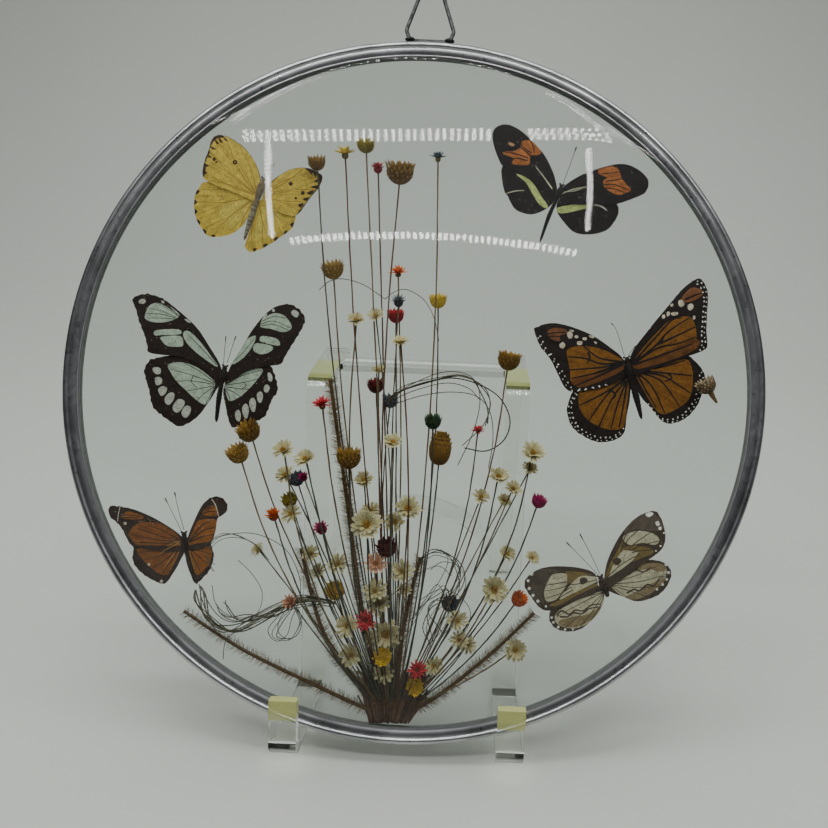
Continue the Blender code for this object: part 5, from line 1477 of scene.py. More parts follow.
def black_specimen():
    orange = (0.42, 0.135, 0.028)
    green = (0.52, 0.60, 0.20)
    pale = (0.62, 0.60, 0.42)
    specks = ((0.5, 0.48, 0.42), (0.12, 0.07, 0.04), (0.3, 0.27, 0.22))
    left_fore = ((503, 124.3), (513.3, 126.1), (525.9, 134.7), (542.6, 152.5), (550, 165.1),
        (555.2, 178.9), (556, 192), (540, 186), (519, 172.8), (504, 167.3), (497.2, 155.9), (492.1, 137.6),
        (494.9, 128.4))
    left_hind = ((503.5, 165.4), (501.8, 178.9), (504.7, 192.7), (507.6, 196.1), (514.4, 208.7),
        (525.9, 213.9), (535.1, 213.9), (546.6, 208.7), (553.5, 201.8), (556.8, 192.4), (545, 178.9),
        (525, 168))
    right_fore = ((562.7, 188.1), (576.4, 177.7), (594.8, 169.7), (617.8, 164), (632.7, 166.3),
        (645.3, 175.4), (648.8, 183.5), (645.3, 192.7), (633.8, 198.4), (616.6, 204.1), (606.3, 203.8),
        (583.3, 204.8), (561, 201.7))
    right_hind = ((556.9, 211), (566.1, 224.8), (575.3, 232.8), (590.2, 234.6), (606.3, 230.5),
        (615.5, 220.2), (618.9, 211), (616.6, 203.3), (608.6, 199.8), (583.3, 198.5), (560.7, 198.5))
    root = (558, 194)
    fore_l = filled((((521.7, 141.8), (529.6, 140.2), (537.4, 146.5), (541.3, 153.1), (536.2, 155.4),
        (530.3, 155.4), (529.6, 164.3), (522.1, 165.3), (511.6, 163.6), (514.2, 158.2), (503.4, 154.3),
        (504.4, 151.7), (513.2, 151.2), (520.3, 147.9)),), orange, 2)
    fore_l += lines((((530.3, 155.4), (519.8, 147.2), (508.1, 142.5)), ((532, 153.1), (524.5, 148.4),
        (518.6, 142.5)), ((528, 158.2), (517.5, 154.3), (504.4, 152.1)), ((528, 160.6), (519.8, 158.9),
        (512.8, 158.2)), ((534.3, 153.1), (533.4, 147.2), (530.3, 140.9))), BLACK, 1.3, 0.9)
    fore_l += filled((((508.6, 141.8), (514.7, 144.2), (513.2, 146.5), (509.3, 144.9)),), (0.45, 0.25,
        0.12), 2)
    fore_l += lines((((536.2, 167.1), (544.4, 177.7), (552.1, 188.7)),), pale, 0.7, 1.3)
    fore_l += flecks(left_fore, 34, specks, 0.35)
    fore_r = filled((((598.2, 169.9), (607.6, 166.7), (617, 167.6), (620.5, 174.2), (621.7, 178.8),
        (631, 189.4), (628.7, 191.7), (620.5, 194.8), (613.5, 193.4), (604.1, 187), (603.6, 180),
        (607.6, 177.7), (599.4, 174.2)),), orange, 2)
    fore_r += lines((((603.6, 184.7), (614.6, 184.7), (631, 190.5)), ((605.3, 181.2), (615.8, 180),
        (621.9, 178.8)), ((601.8, 174.2), (611.1, 173), (619.3, 171.8)), ((606.4, 188.2), (615.8, 189.4),
        (627.5, 194.1))), BLACK, 1.2, 0.8)
    fore_r += lines((((561.9, 194.1), (572.5, 189.4), (588.9, 186.3)), ((564.3, 191.7), (573.7, 191),
        (583, 188.2))), pale, 0.5, 0.9)
    fore_r += flecks(right_fore, 34, specks, 0.35)
    hind_l = filled((((516.3, 174.2), (525.7, 177), (534.3, 184.7), (541.3, 196.4), (547.9, 205.8),
        (545.1, 208.1), (538.5, 203.4), (532.7, 194.1), (525.7, 182.3)),), green, 3)
    hind_l += lines((((504.6, 194.1), (515.1, 191), (524.5, 190.5)),), pale, 0.6, 0.9)
    hind_l += flecks(left_hind, 60, specks, 0.4)
    hind_r = filled((((557.3, 208.1), (569, 205.1), (583, 203), (588.9, 203.4), (589.6, 206.5),
        (580.7, 209.7), (560.8, 213.5)),), green, 3)
    hind_r += lines((((593.6, 204.6), (600.6, 206), (606.9, 210.4)),), (0.75, 0.75, 0.62), 1.4, 0.8)
    hind_r += flecks(right_hind, 30, specks, 0.35)
    return {
        "node": "black_butterfly", "slot": "black_butterfly_scales", "ground": (0.012, 0.008, 0.007),
        "body": ((540, 242), (549, 216), (558.5, 195), (562, 184.5)), "widths": (2.5, 4.5, 6.5, 5),
        "body_colours": ((0.012, 0.01, 0.009), (0.012, 0.01, 0.009)),
        "antennae": (((563, 184), (571, 162), (576.4, 147)),),
        "fore": ((left_fore, fore_l), (right_fore, fore_r)), "hind": ((left_hind, hind_l),
             (right_hind, hind_r)),
        "root": root, "streak": 0.3, "scallop": 0.25,
    }


def pale_specimen():
    pale = (0.40, 0.49, 0.39)
    white = (0.47, 0.49, 0.42)
    brown = (0.018, 0.010, 0.007)
    specks = ((0.10, 0.045, 0.025), (0.30, 0.22, 0.16), (0.06, 0.03, 0.02))
    left_fore = ((134, 296.6), (145.5, 293.4), (162.1, 297.9), (177.4, 309.3), (196.5, 327.2),
        (209.3, 346.3), (220.8, 366.7), (220, 384), (201.6, 366.9), (182.5, 357.3), (150.6, 353.3),
        (147.4, 346.3), (144.9, 337.4), (139.1, 322.1), (135.3, 309.3), (132.1, 301.7))
    left_hind = ((179.9, 354.5), (153.2, 358.4), (146.8, 363.2), (143.6, 370.6), (145.5, 379.5),
        (148.7, 391), (151.9, 406.3), (159.5, 413.9), (169.7, 421.6), (180.6, 426.7), (196.5, 417.8),
        (206.7, 405), (215, 392.2), (219.5, 379.5), (203, 361))
    right_fore = ((229.7, 368), (242.4, 346.3), (255.2, 325.9), (270.5, 309.3), (285.8, 303.6),
        (297.3, 306.8), (305.6, 318.3), (301.1, 331), (294.7, 341.2), (288.4, 351.4), (284.5, 357.8),
        (280.7, 364.2), (268, 366.2), (247.6, 371), (226, 384))
    right_hind = ((266.7, 362.8), (274.3, 371.8), (278.2, 389.7), (273.1, 398.6), (270.5, 405),
        (265.4, 416.5), (259, 420.3), (234.8, 428), (228.4, 420.3), (225.9, 407.6), (223.3, 390.2),
        (229.7, 376.4), (247.6, 365.7))
    root = (222.5, 377)
    fore_l = filled((((144.9, 315.6), (148.9, 306.2), (156.7, 302.9), (164.4, 305.6), (178.2, 315.1),
        (175.6, 318.9), (165.6, 322.2), (153.3, 322.2), (146.2, 319.6)), ((170, 306.2), (178.2, 312.9),
        (179.6, 315.6), (173.3, 310)), ((153.8, 332.9), (157.8, 330), (178.2, 329.3), (180.4, 334.2),
        (161.3, 335.1), (155.6, 335.6)), ((161.3, 336.9), (180.4, 336), (183.3, 344.4), (180, 346.7),
        (167.8, 346.2), (162.2, 341.1)), ((183.3, 333.3), (186.7, 330.7), (193.3, 334.4), (203.3, 345.6),
        (212.2, 357.8), (217.8, 365.6), (214.4, 365.6), (200, 355.6), (188.9, 345.6), (184.4, 338.9))),
        pale)
    fore_l += filled((((138.7, 301.1), (141.8, 298.7), (145.8, 300.4), (144, 303.6), (140, 303.6)),
        ((161.3, 300.9), (163.6, 300.9), (164.4, 303.1), (162.2, 303.1)), ((184.4, 319.1), (187.8, 319.6),
        (191.1, 322.7), (187.6, 322.2))), white, 3)
    fore_l += lines((((175.6, 317.3), (162.2, 311.1), (148.9, 308.4)), ((175.6, 318.2), (162.2, 314.4),
        (146.2, 313.3)), ((175.1, 319.1), (162.2, 318.2), (147.1, 317.8)), ((178.2, 315.6), (167.8, 308.9),
        (157.8, 303.1)), ((216.9, 365.3), (202.2, 348.9), (185.6, 332.2))), brown, 0.7, 0.5)
    fore_l += flecks(left_fore, 90, specks, 0.45)
    fore_r = filled((((260.4, 325.6), (262.2, 320), (270, 314.4), (277.8, 313.3), (285.6, 316.7),
        (291.6, 325.6), (290, 330), (282.2, 332.2), (271.1, 328.9), (262.2, 327.8)), ((259.6, 339.6),
        (262.2, 336), (275.6, 338.2), (279.6, 342.2), (278.2, 345.8), (262.2, 342.2)), ((253.3, 346.7),
        (257.3, 343.1), (272, 346.2), (271.1, 351.1), (262.2, 354.4), (254.4, 351.6)), ((232.2, 363.3),
        (235.6, 355.6), (244.4, 341.1), (253.3, 336), (256, 337.3), (252.2, 346.7), (244.4, 356.7),
        (235.6, 363.3))), pale)
    fore_r += filled((((291.1, 312.4), (294.4, 309.8), (298.9, 313.3), (296.9, 317.3), (293.3, 316)),
        ((272, 308.9), (274.2, 308.9), (274.7, 311.6), (272.4, 311.6)), ((261.3, 322.7), (262.7, 317.8),
        (267.1, 313.3), (265.8, 317.3), (263.1, 321.8))), white, 3)
    fore_r += lines((((260.4, 324.4), (273.3, 321.1), (290, 327.8)), ((261.3, 326.2), (273.3, 324.4),
        (288.4, 330.2)), ((262.2, 321.1), (273.3, 316.7), (286.7, 318.2)), ((232.2, 362.7), (244.4, 351.1),
        (255.6, 336.9))), brown, 0.7, 0.5)
    fore_r += flecks(right_fore, 80, specks, 0.45)
    hind_l = filled((((167.8, 365.6), (173.3, 362.7), (184.4, 362.7), (197.8, 367.8), (211.1, 377.8),
        (215.1, 384.4), (210, 397.8), (205.6, 404.4), (197.8, 401.1), (186.7, 391.1), (175.6, 380),
        (170, 371.1)),), pale)
    hind_l += lines((((214.4, 383.3), (193.3, 375.6), (170, 368.9)), ((214.4, 384.4), (193.3, 381.1),
        (176.7, 381.1)), ((214.2, 385.8), (197.8, 388.9), (186.7, 391.1)), ((214.2, 386.7), (204.4, 393.3),
        (196.7, 401.1)), ((214.4, 387.6), (210, 395.6), (205.6, 404.4)), ((193.3, 375.6), (191.6, 381.8),
        (196.7, 387.8)), ((214.4, 382.2), (197.8, 370), (184.4, 363.1))), brown, 0.8, 0.6)
    hind_l += filled((((152.9, 367.8), (157.3, 367.1), (160.7, 368.9), (160.4, 373.3), (156.7, 374.2),
        (153.3, 371.6)), ((155.1, 377.8), (159.1, 376.9), (162.2, 379.6), (160.9, 384), (156.9, 385.3),
        (155.1, 381.8)), ((158.2, 388.9), (162.7, 386.2), (167.1, 388), (165.8, 392.9), (161.8, 396),
        (159.1, 393.3)), ((164.9, 397.8), (169.3, 392.9), (174.2, 393.3), (173.8, 399.1), (169.3, 404.9),
        (165.3, 402.7)), ((172.9, 406.2), (178.2, 399.1), (184.4, 400.9), (183.6, 406.2), (178.2, 412.4),
        (173.8, 411.1)), ((181.8, 411.1), (185.8, 405.8), (190.7, 407.1), (190.2, 412.9), (186.2, 417.8),
        (182.2, 415.6))), white)
    hind_l += flecks(left_hind, 90, specks, 0.45)
    hind_r = filled((((224.4, 384.4), (228.9, 377.8), (240, 372.2), (253.3, 368.4), (262.2, 368.9),
        (261.1, 374.4), (251.1, 386.7), (240, 396.7), (230, 401.1), (226.7, 395.6)),), pale)
    hind_r += lines((((224.4, 384.4), (242.2, 375.6), (261.8, 370)), ((224.9, 385.3), (244.4, 382.2),
        (257.8, 378.9)), ((225.3, 386.7), (240, 388.9), (248.9, 389.3)), ((225.3, 388), (235.6, 393.3),
        (240, 396.4)), ((224.9, 388.9), (228.9, 395.6), (230.2, 401.1)), ((244.4, 382.2), (245.8, 386.2),
        (241.1, 389.3))), brown, 0.8, 0.6)
    hind_r += filled((((267.6, 373.3), (270.2, 372.9), (272.4, 376.9), (271.6, 381.3), (268.4, 380.4)),
        ((264, 386.7), (267.1, 384.4), (269.8, 387.6), (267.6, 392.4), (264.4, 391.6)), ((256.9, 393.8),
        (260.9, 391.6), (263.1, 396), (260.9, 402.7), (257.8, 400.9)), ((249.8, 400), (253.3, 397.8),
        (256, 402.7), (254.7, 411.6), (251.6, 410.7), (249.3, 404.9)), ((242.7, 406.2), (246.2, 403.6),
        (248.9, 408.9), (247.1, 418.2), (244, 416.9), (242.2, 411.1)), ((235.6, 411.6), (238.7, 409.8),
        (240.9, 414.7), (239.6, 421.3), (236.4, 420), (235.1, 415.6))), white)
    hind_r += flecks(right_hind, 80, specks, 0.45)
    return {
        "node": "pale_green_butterfly", "slot": "pale_green_butterfly_scales", "ground": brown,
        "body": ((216.3, 422), (219, 398), (222.7, 378), (225.2, 365.5)), "widths": (3.5, 5.5, 9, 6),
        "body_colours": ((0.012, 0.009, 0.007), (0.02, 0.013, 0.01)),
        "antennae": (((223.5, 364), (225.9, 336)), ((227, 363), (235.8, 336))),
        "fore": ((left_fore, fore_l), (right_fore, fore_r)),
        "hind": ((left_hind, hind_l), (right_hind, hind_r)), "root": root, "streak": 0.08, "scallop": 0.9,
    }


def monarch_specimen():
    orange = (0.20, 0.082, 0.010)
    rust = (0.13, 0.048, 0.010)
    spots = (0.66, 0.58, 0.44)
    left_fore = ((535.2, 327.5), (550.5, 322.9), (568.9, 325.9), (591.8, 335.1), (610.2, 347.4),
        (622.5, 358.1), (629, 373), (607.1, 386.1), (576.5, 391.4), (565.8, 388.7), (558.2, 374.9),
        (550.5, 359.6), (539.8, 345.8), (534.4, 332))
    left_hind = ((576.5, 388.2), (567.4, 405.5), (567.4, 414.7), (571.9, 426.9), (582.7, 436.1),
        (598, 442.3), (613.3, 440.7), (624, 433.1), (627, 414.7), (630.1, 396.3), (629, 375),
        (607.1, 380.6))
    right_fore = ((630.9, 355), (646.9, 332), (666.8, 307.6), (683.7, 287.7), (697.5, 278.5),
        (703.6, 281.5), (708.2, 293.8), (707.4, 310.6), (706.6, 332), (707.4, 341.2), (705.1, 349.6),
        (683.7, 357.8), (653.1, 368.7), (632.2, 375.8))
    right_hind = ((683.7, 355.1), (695.9, 361.7), (703.6, 371.8), (705.1, 379.5), (702.1, 393.3),
        (697.5, 405.5), (686.7, 417.8), (671.4, 423.9), (660.7, 420.1), (650, 407), (640.8, 396.3),
        (632.2, 377), (653.1, 364.7))
    root = (629, 372)
    fore_l = filled((((567.5, 349.5), (582, 346), (599.2, 348.4), (612.9, 354.2), (622.4, 362.1),
        (599.2, 370.6), (583.3, 378.5), (571.7, 382.7), (570.1, 370.6), (568, 360)),), orange)
    fore_l += filled((((571.7, 379.8), (579.4, 387.5), (599.2, 381.6), (623.5, 369.6), (622.4, 362.8),
        (600, 373)),), rust)
    fore_l += filled((((547.2, 332), (554.3, 327.8), (565.9, 329.4), (566.5, 333.6), (559.6, 335.7),
        (560.1, 341), (551.1, 338.9)),), (0.17, 0.065, 0.025))
    fore_l += lines((((547.4, 334.1), (556.9, 332.6), (565.9, 332.6)), ((549, 336.8), (555.6, 336.3),
        (560.1, 336.8))), BLACK, 1.1)
    fore_l += lines((((622.9, 362.1), (599.2, 357.9), (583.3, 345.8)), ((622.9, 362.7), (601.8, 364),
        (586, 358.7), (568, 356.8)), ((622.9, 363.2), (601.8, 367.4), (569.1, 370)), ((622.9, 363.7),
        (599.2, 372.2), (571.7, 378.5)), ((588.1, 352.1), (589.9, 358.7), (587.3, 362.7)), ((623.5, 364.2),
        (599.2, 375.8), (574.1, 386.4))), BLACK, 2.3, 1.3)
    fore_l += filled((((567, 333.1), (570.1, 331.5), (572.8, 334.1), (572.3, 337.8), (568.6, 338.4)),
        ((559.6, 344.2), (563.3, 342.1), (565.4, 345.2), (563.3, 348.4), (560.1, 347.3)), ((577.5, 341.5),
        (582.3, 341.5), (581.8, 344.7), (577.5, 344.7)), ((574.4, 336.3), (577, 335.2), (578.6, 337.3),
        (576, 338.4)), ((582.8, 337.8), (586.5, 337.3), (586.5, 340), (583.3, 340)), ((589.1, 335.2),
        (593.9, 336.3), (593.4, 338.4), (589.7, 337.3)), ((569.1, 329.9), (573.8, 330.5), (572.8, 332)),
        ((593.9, 341.5), (597.1, 342.1), (596, 344.2))), spots, 2)
    fore_l += dotted_margin(left_fore, 7, 13, ((2.4, 0.85, 0.3), (5.6, 0.95, 0.75)), 15, root)
    fore_r = filled((((633.5, 362.7), (642.7, 348.1), (657.2, 332.3), (671, 319.9), (688.9, 316.5),
        (695.2, 325.7), (696.3, 338.4), (688.9, 343.6), (667.8, 352.1), (644, 359.5)),), orange)
    fore_r += filled((((681.5, 298.3), (691.5, 287.7), (702.1, 290.3), (701.6, 296.1), (692.9, 300.9),
        (684.2, 302.5)),), (0.20, 0.075, 0.028))
    fore_r += filled((((634.5, 363), (657.2, 355.2), (695.2, 338.9), (696.5, 348.9), (667.8, 361.2),
        (637.7, 369)),), rust)
    fore_r += lines((((633, 363.2), (652, 341.5), (671.8, 320.4), (681.5, 317.8)), ((633, 363.7),
        (654.6, 346.8), (667.8, 332.3), (688.9, 317.8)), ((657.2, 344.7), (675.7, 336.3), (695.2, 327)),
        ((633, 364.2), (657.2, 348.4), (678.4, 343.6), (695.8, 337.3)), ((663.8, 336.3), (661.2, 342.1),
        (657.2, 345.2)), ((633.5, 364.8), (657.2, 356.8), (691.5, 344.2)), ((685, 299.8), (694.2, 295.6),
        (702.1, 293))), BLACK, 2.3, 1.3)
    fore_r += filled((((678.4, 301.4), (681.5, 299.8), (684.7, 304.1), (681.5, 307.2), (678.9, 305.6)),
        ((687.9, 305.1), (692.1, 303.5), (693.7, 307.2), (690.5, 310.4), (687.9, 308.8)), ((666.7, 312.5),
        (669.4, 311.5), (669.9, 314.6), (667.3, 316.7)), ((671, 313), (677.3, 312), (677.8, 314.6),
        (672.5, 315.7)), ((662, 315.7), (664.6, 314.6), (665.2, 317.8), (662.5, 318.8)), ((692.9, 316.2),
        (695.2, 315.7), (695.2, 318.8), (693.1, 319.4)), ((670.4, 304.6), (673.1, 303.5), (673.1, 306.2),
        (671, 306.7)), ((648.3, 326.8), (650.4, 325.2), (650.9, 327.8), (648.8, 329.4))), spots, 2)
    fore_r += dotted_margin(right_fore, 4, 10, ((2.4, 0.85, 0.3), (5.6, 0.95, 0.75)), 15, root)
    hind_l = filled((((581.2, 389.6), (599.2, 381.7), (623.5, 378), (628.7, 386.4), (626.6, 407.5),
        (623.5, 427.3), (607.1, 429.2), (590.7, 422), (581.8, 412.8), (578.6, 402.2)),), orange)
    hind_l += lines((((625.6, 378.5), (601.8, 383.8), (582.3, 392.2)), ((625.6, 379), (604.5, 393),
        (579.6, 405.4)), ((625.6, 379.5), (611.1, 390.4), (599.2, 405.4), (589.1, 420.7)), ((626.1, 380.1),
        (612.4, 398.3), (599.2, 426.5)), ((626.6, 380.6), (618.2, 402.2), (611.1, 428.6)), ((627.2, 381.1),
        (623.5, 404.9), (619.2, 427.3)), ((611.1, 390.4), (615.5, 394.8), (612.4, 399.6))), BLACK, 2.2, 1.3)
    hind_l += dotted_margin(left_hind, 0, 7, ((2.2, 0.8, 0.2), (5.2, 0.9, 0.7)), 19, root)
    hind_r = filled((((636.7, 371.1), (662.5, 364.8), (684.2, 359), (691.5, 365.8), (692.9, 383.8),
        (688.9, 399.1), (678.4, 408), (663.8, 414.4), (654.6, 408), (644, 390.4)),), orange)
    hind_r += lines((((635.1, 370), (659.9, 367.4), (685, 360.5)), ((635.1, 370.6), (667.8, 373.2),
        (692.1, 375.8)), ((635.6, 371.1), (662.5, 375.8), (678.4, 385.1), (690.2, 393)), ((635.6, 371.6),
        (657.2, 378.5), (667.8, 389), (679.7, 406.5)), ((636.1, 372.2), (652, 386.4), (664.6, 412.8)),
        ((667.8, 373.2), (671.8, 378), (664.6, 381.7)), ((636.7, 373.2), (646.7, 391.7), (655.9, 407.5))),
        BLACK, 2.2, 1.3)
    hind_r += dotted_margin(right_hind, 2, 9, ((2.2, 0.8, 0.2), (5.2, 0.9, 0.7)), 18, root)
    return {
        "node": "orange_brown_monarch", "slot": "orange_brown_monarch_scales",
        "ground": (0.014, 0.009, 0.007),
        "body": ((641.6, 419), (636, 396), (630, 374), (626.6, 357)), "widths": (3.5, 7, 10, 7),
        "body_colours": ((0.016, 0.012, 0.01), (0.016, 0.012, 0.01)),
        "antennae": (((624.5, 356), (616.3, 330), (611.4, 323.2)), ((628.5, 355), (635.5, 345.8))),
        "fore": ((left_fore, fore_l), (right_fore, fore_r)), "hind": ((left_hind, hind_l),
        (right_hind, hind_r)), "root": root,
        "streak": 0.18, "scallop": 0.4,
    }


def orange_specimen():
    orange = (0.185, 0.062, 0.012)
    bright = (0.22, 0.075, 0.010)
    crack = (0.55, 0.47, 0.36)
    gold = (0.36, 0.20, 0.05)
    left_fore = ((108.1, 509.5), (112.1, 505.4), (130.2, 508.1), (147.6, 514.8), (165, 524.2),
        (181.1, 536.2), (184.7, 549), (165, 551.6), (140.9, 547.6), (131.5, 545.6), (126.2, 537.6),
        (122.1, 529.6), (116.8, 522.9), (110.1, 517.5))
    left_hind = ((132.9, 550.3), (132.2, 559), (135.5, 567), (143.6, 575.1), (154.3, 581.1), (165, 583.8),
        (173, 573.7), (179.7, 561.7), (184.7, 547), (165, 543.6), (143.6, 542.6), (134, 545))
    right_fore = ((188, 536.6), (195.8, 517.5), (203.8, 502.8), (214.5, 496.1), (223.9, 498.7),
        (227.9, 506.8), (225.3, 513.5), (217.9, 518.8), (215.9, 529.6), (211.2, 542.9), (199.8, 549),
        (186.3, 549))
    right_hind = ((207.9, 539.6), (213.2, 551), (213.9, 557.7), (210.5, 569.7), (202.5, 579.1),
        (195.8, 583.8), (189.1, 571.1), (185.6, 557.7), (186.3, 545.6), (197.1, 539.3))
    root = (185, 543)
    fore_l = filled((((128.7, 532.9), (138.3, 523.3), (154.3, 522.5), (168.7, 528.1), (179.9, 537.7),
        (179.9, 545.7), (160.7, 545.4), (138.3, 544.9), (132.7, 540.9)),), orange)
    fore_l += filled((((122.4, 515.3), (128.7, 511.4), (143.1, 516.1), (139.9, 519.3), (127.2, 519.3),
        (123.2, 518.2)),), bright)
    fore_l += lines((((122.4, 515.3), (131.9, 515.3), (141.8, 517.7)), ((124, 517.7), (131.9, 517.7),
        (138.3, 518.9)), ((179.9, 540.1), (163.9, 531.3), (147.9, 524.9)), ((179.9, 540.9), (160.7, 536.1),
        (136.7, 528.1)), ((179.9, 541.7), (159.1, 540.1), (130.3, 534.5)), ((179.9, 542.8), (160.7, 543.3),
        (134.3, 542.2))), DARK, 1.1, 0.7)
    fore_l += lines((((120.1, 507), (118.5, 513.7), (117.6, 521.4)),), crack, 0.8)
    fore_l += lines((((179.1, 542.5), (168.7, 548.1), (159.1, 552.9)), ((179.9, 540.9), (173.5, 542.5),
        (167.1, 546.5))), gold, 0.9, 0.5)
    fore_l += dots(((125.2, 523.4, 1.6),), crack) + flecks(left_fore, 60, (gold, DARK, crack), 0.35)
    fore_r = filled((((189.4, 539.3), (194.2, 528.1), (199.8, 519.3), (210.2, 519.3), (217.4, 520.9),
        (215.3, 531.3), (210.2, 540.9), (197.4, 543.3), (189.4, 544.9)),), bright)
    fore_r += filled((((202.2, 514.5), (205.4, 509), (213.4, 505.8), (217.4, 510.6), (216.6, 515.3),
        (210.2, 516.1)),), bright)
    fore_r += lines((((203, 513.4), (210.2, 511.4), (217.9, 512.2)), ((204.6, 510.6), (210.2, 508.2),
        (213.7, 507.4)), ((189.4, 540.9), (200.6, 526.5), (211.8, 520.9)), ((189.4, 541.7), (202.2, 531.3),
        (216.3, 526.8)), ((189.4, 542.5), (202.2, 536.9), (214.2, 534.5)), ((199.8, 519.3), (210.2, 517.7),
        (217.4, 518.9))), DARK, 1.4, 0.9)
    fore_r += lines((((211.8, 499.1), (215.8, 505.8), (219, 517.7)),), crack, 0.9) + flecks(right_fore, 40,
        (gold, DARK, crack), 0.35)
    hind_l = filled((((137.5, 548.1), (152.7, 545.7), (179.9, 544.9), (178.3, 555.3), (172.7, 566.5),
        (168.7, 574.4), (159.1, 573.6), (147.9, 564.9), (139.1, 555.3)),), orange)
    hind_l += lines((((179.9, 544.4), (160.7, 548.9), (139.9, 552.9)), ((179.9, 544.9), (163.9, 553.7),
        (144.7, 560.1)), ((179.9, 545.4), (167.1, 558.5), (152.7, 568.1)), ((179.9, 546), (170.3, 561.7),
        (162.3, 573.6)), ((180.2, 546.7), (175.1, 560.1), (169.5, 572.8))), DARK, 1, 0.7)
    hind_l += lines((((179.5, 543.3), (170.3, 548.9), (159.1, 553.7)), ((179.5, 545.4), (171.9, 556.9),
        (163.9, 568.1)), ((179.9, 547.3), (176.7, 556.9), (170.3, 569.7))), gold, 0.8, 0.4)
    hind_l += dots(((149, 564.5, 1.5), (161.5, 581.2, 1.6)), crack) + flecks(left_hind, 50, (gold, DARK),
        0.35)
    hind_r = filled((((188.6, 547.3), (202.2, 544.9), (210.2, 547.3), (211.8, 555.3), (208.6, 564.9),
        (202.2, 572), (195.8, 574.4), (191.8, 561.7)),), bright)
    hind_r += lines((((188.6, 546.5), (199, 550.5), (210.2, 553.7)), ((188.6, 547.3), (197.4, 555.3),
        (207.8, 564.1)), ((188.6, 548.1), (194.2, 560.1), (200.6, 572))), DARK, 1, 0.7)
    hind_r += lines((((189.1, 548.9), (191, 558.5), (194.2, 569.7)),), gold, 0.9, 0.5) + flecks(right_hind,
        30, (gold, DARK), 0.35)
    return {
        "node": "orange_butterfly", "slot": "orange_butterfly_scales", "ground": (0.03, 0.017, 0.012),
        "body": ((195, 583), (189, 562), (184.6, 544), (184, 532)), "widths": (2.5, 4.5, 7.5, 6),
        "body_colours": ((0.03, 0.017, 0.012), (0.02, 0.013, 0.01)),
        "antennae": (((181.5, 531), (172, 512), (165, 498.1)), ((184, 530), (178, 508), (174.6, 492.1))),
        "fore": ((left_fore, fore_l), (right_fore, fore_r)), "hind": ((left_hind, hind_l),
        (right_hind, hind_r)), "root": root,
        "streak": 0.2, "scallop": 0.7,
    }


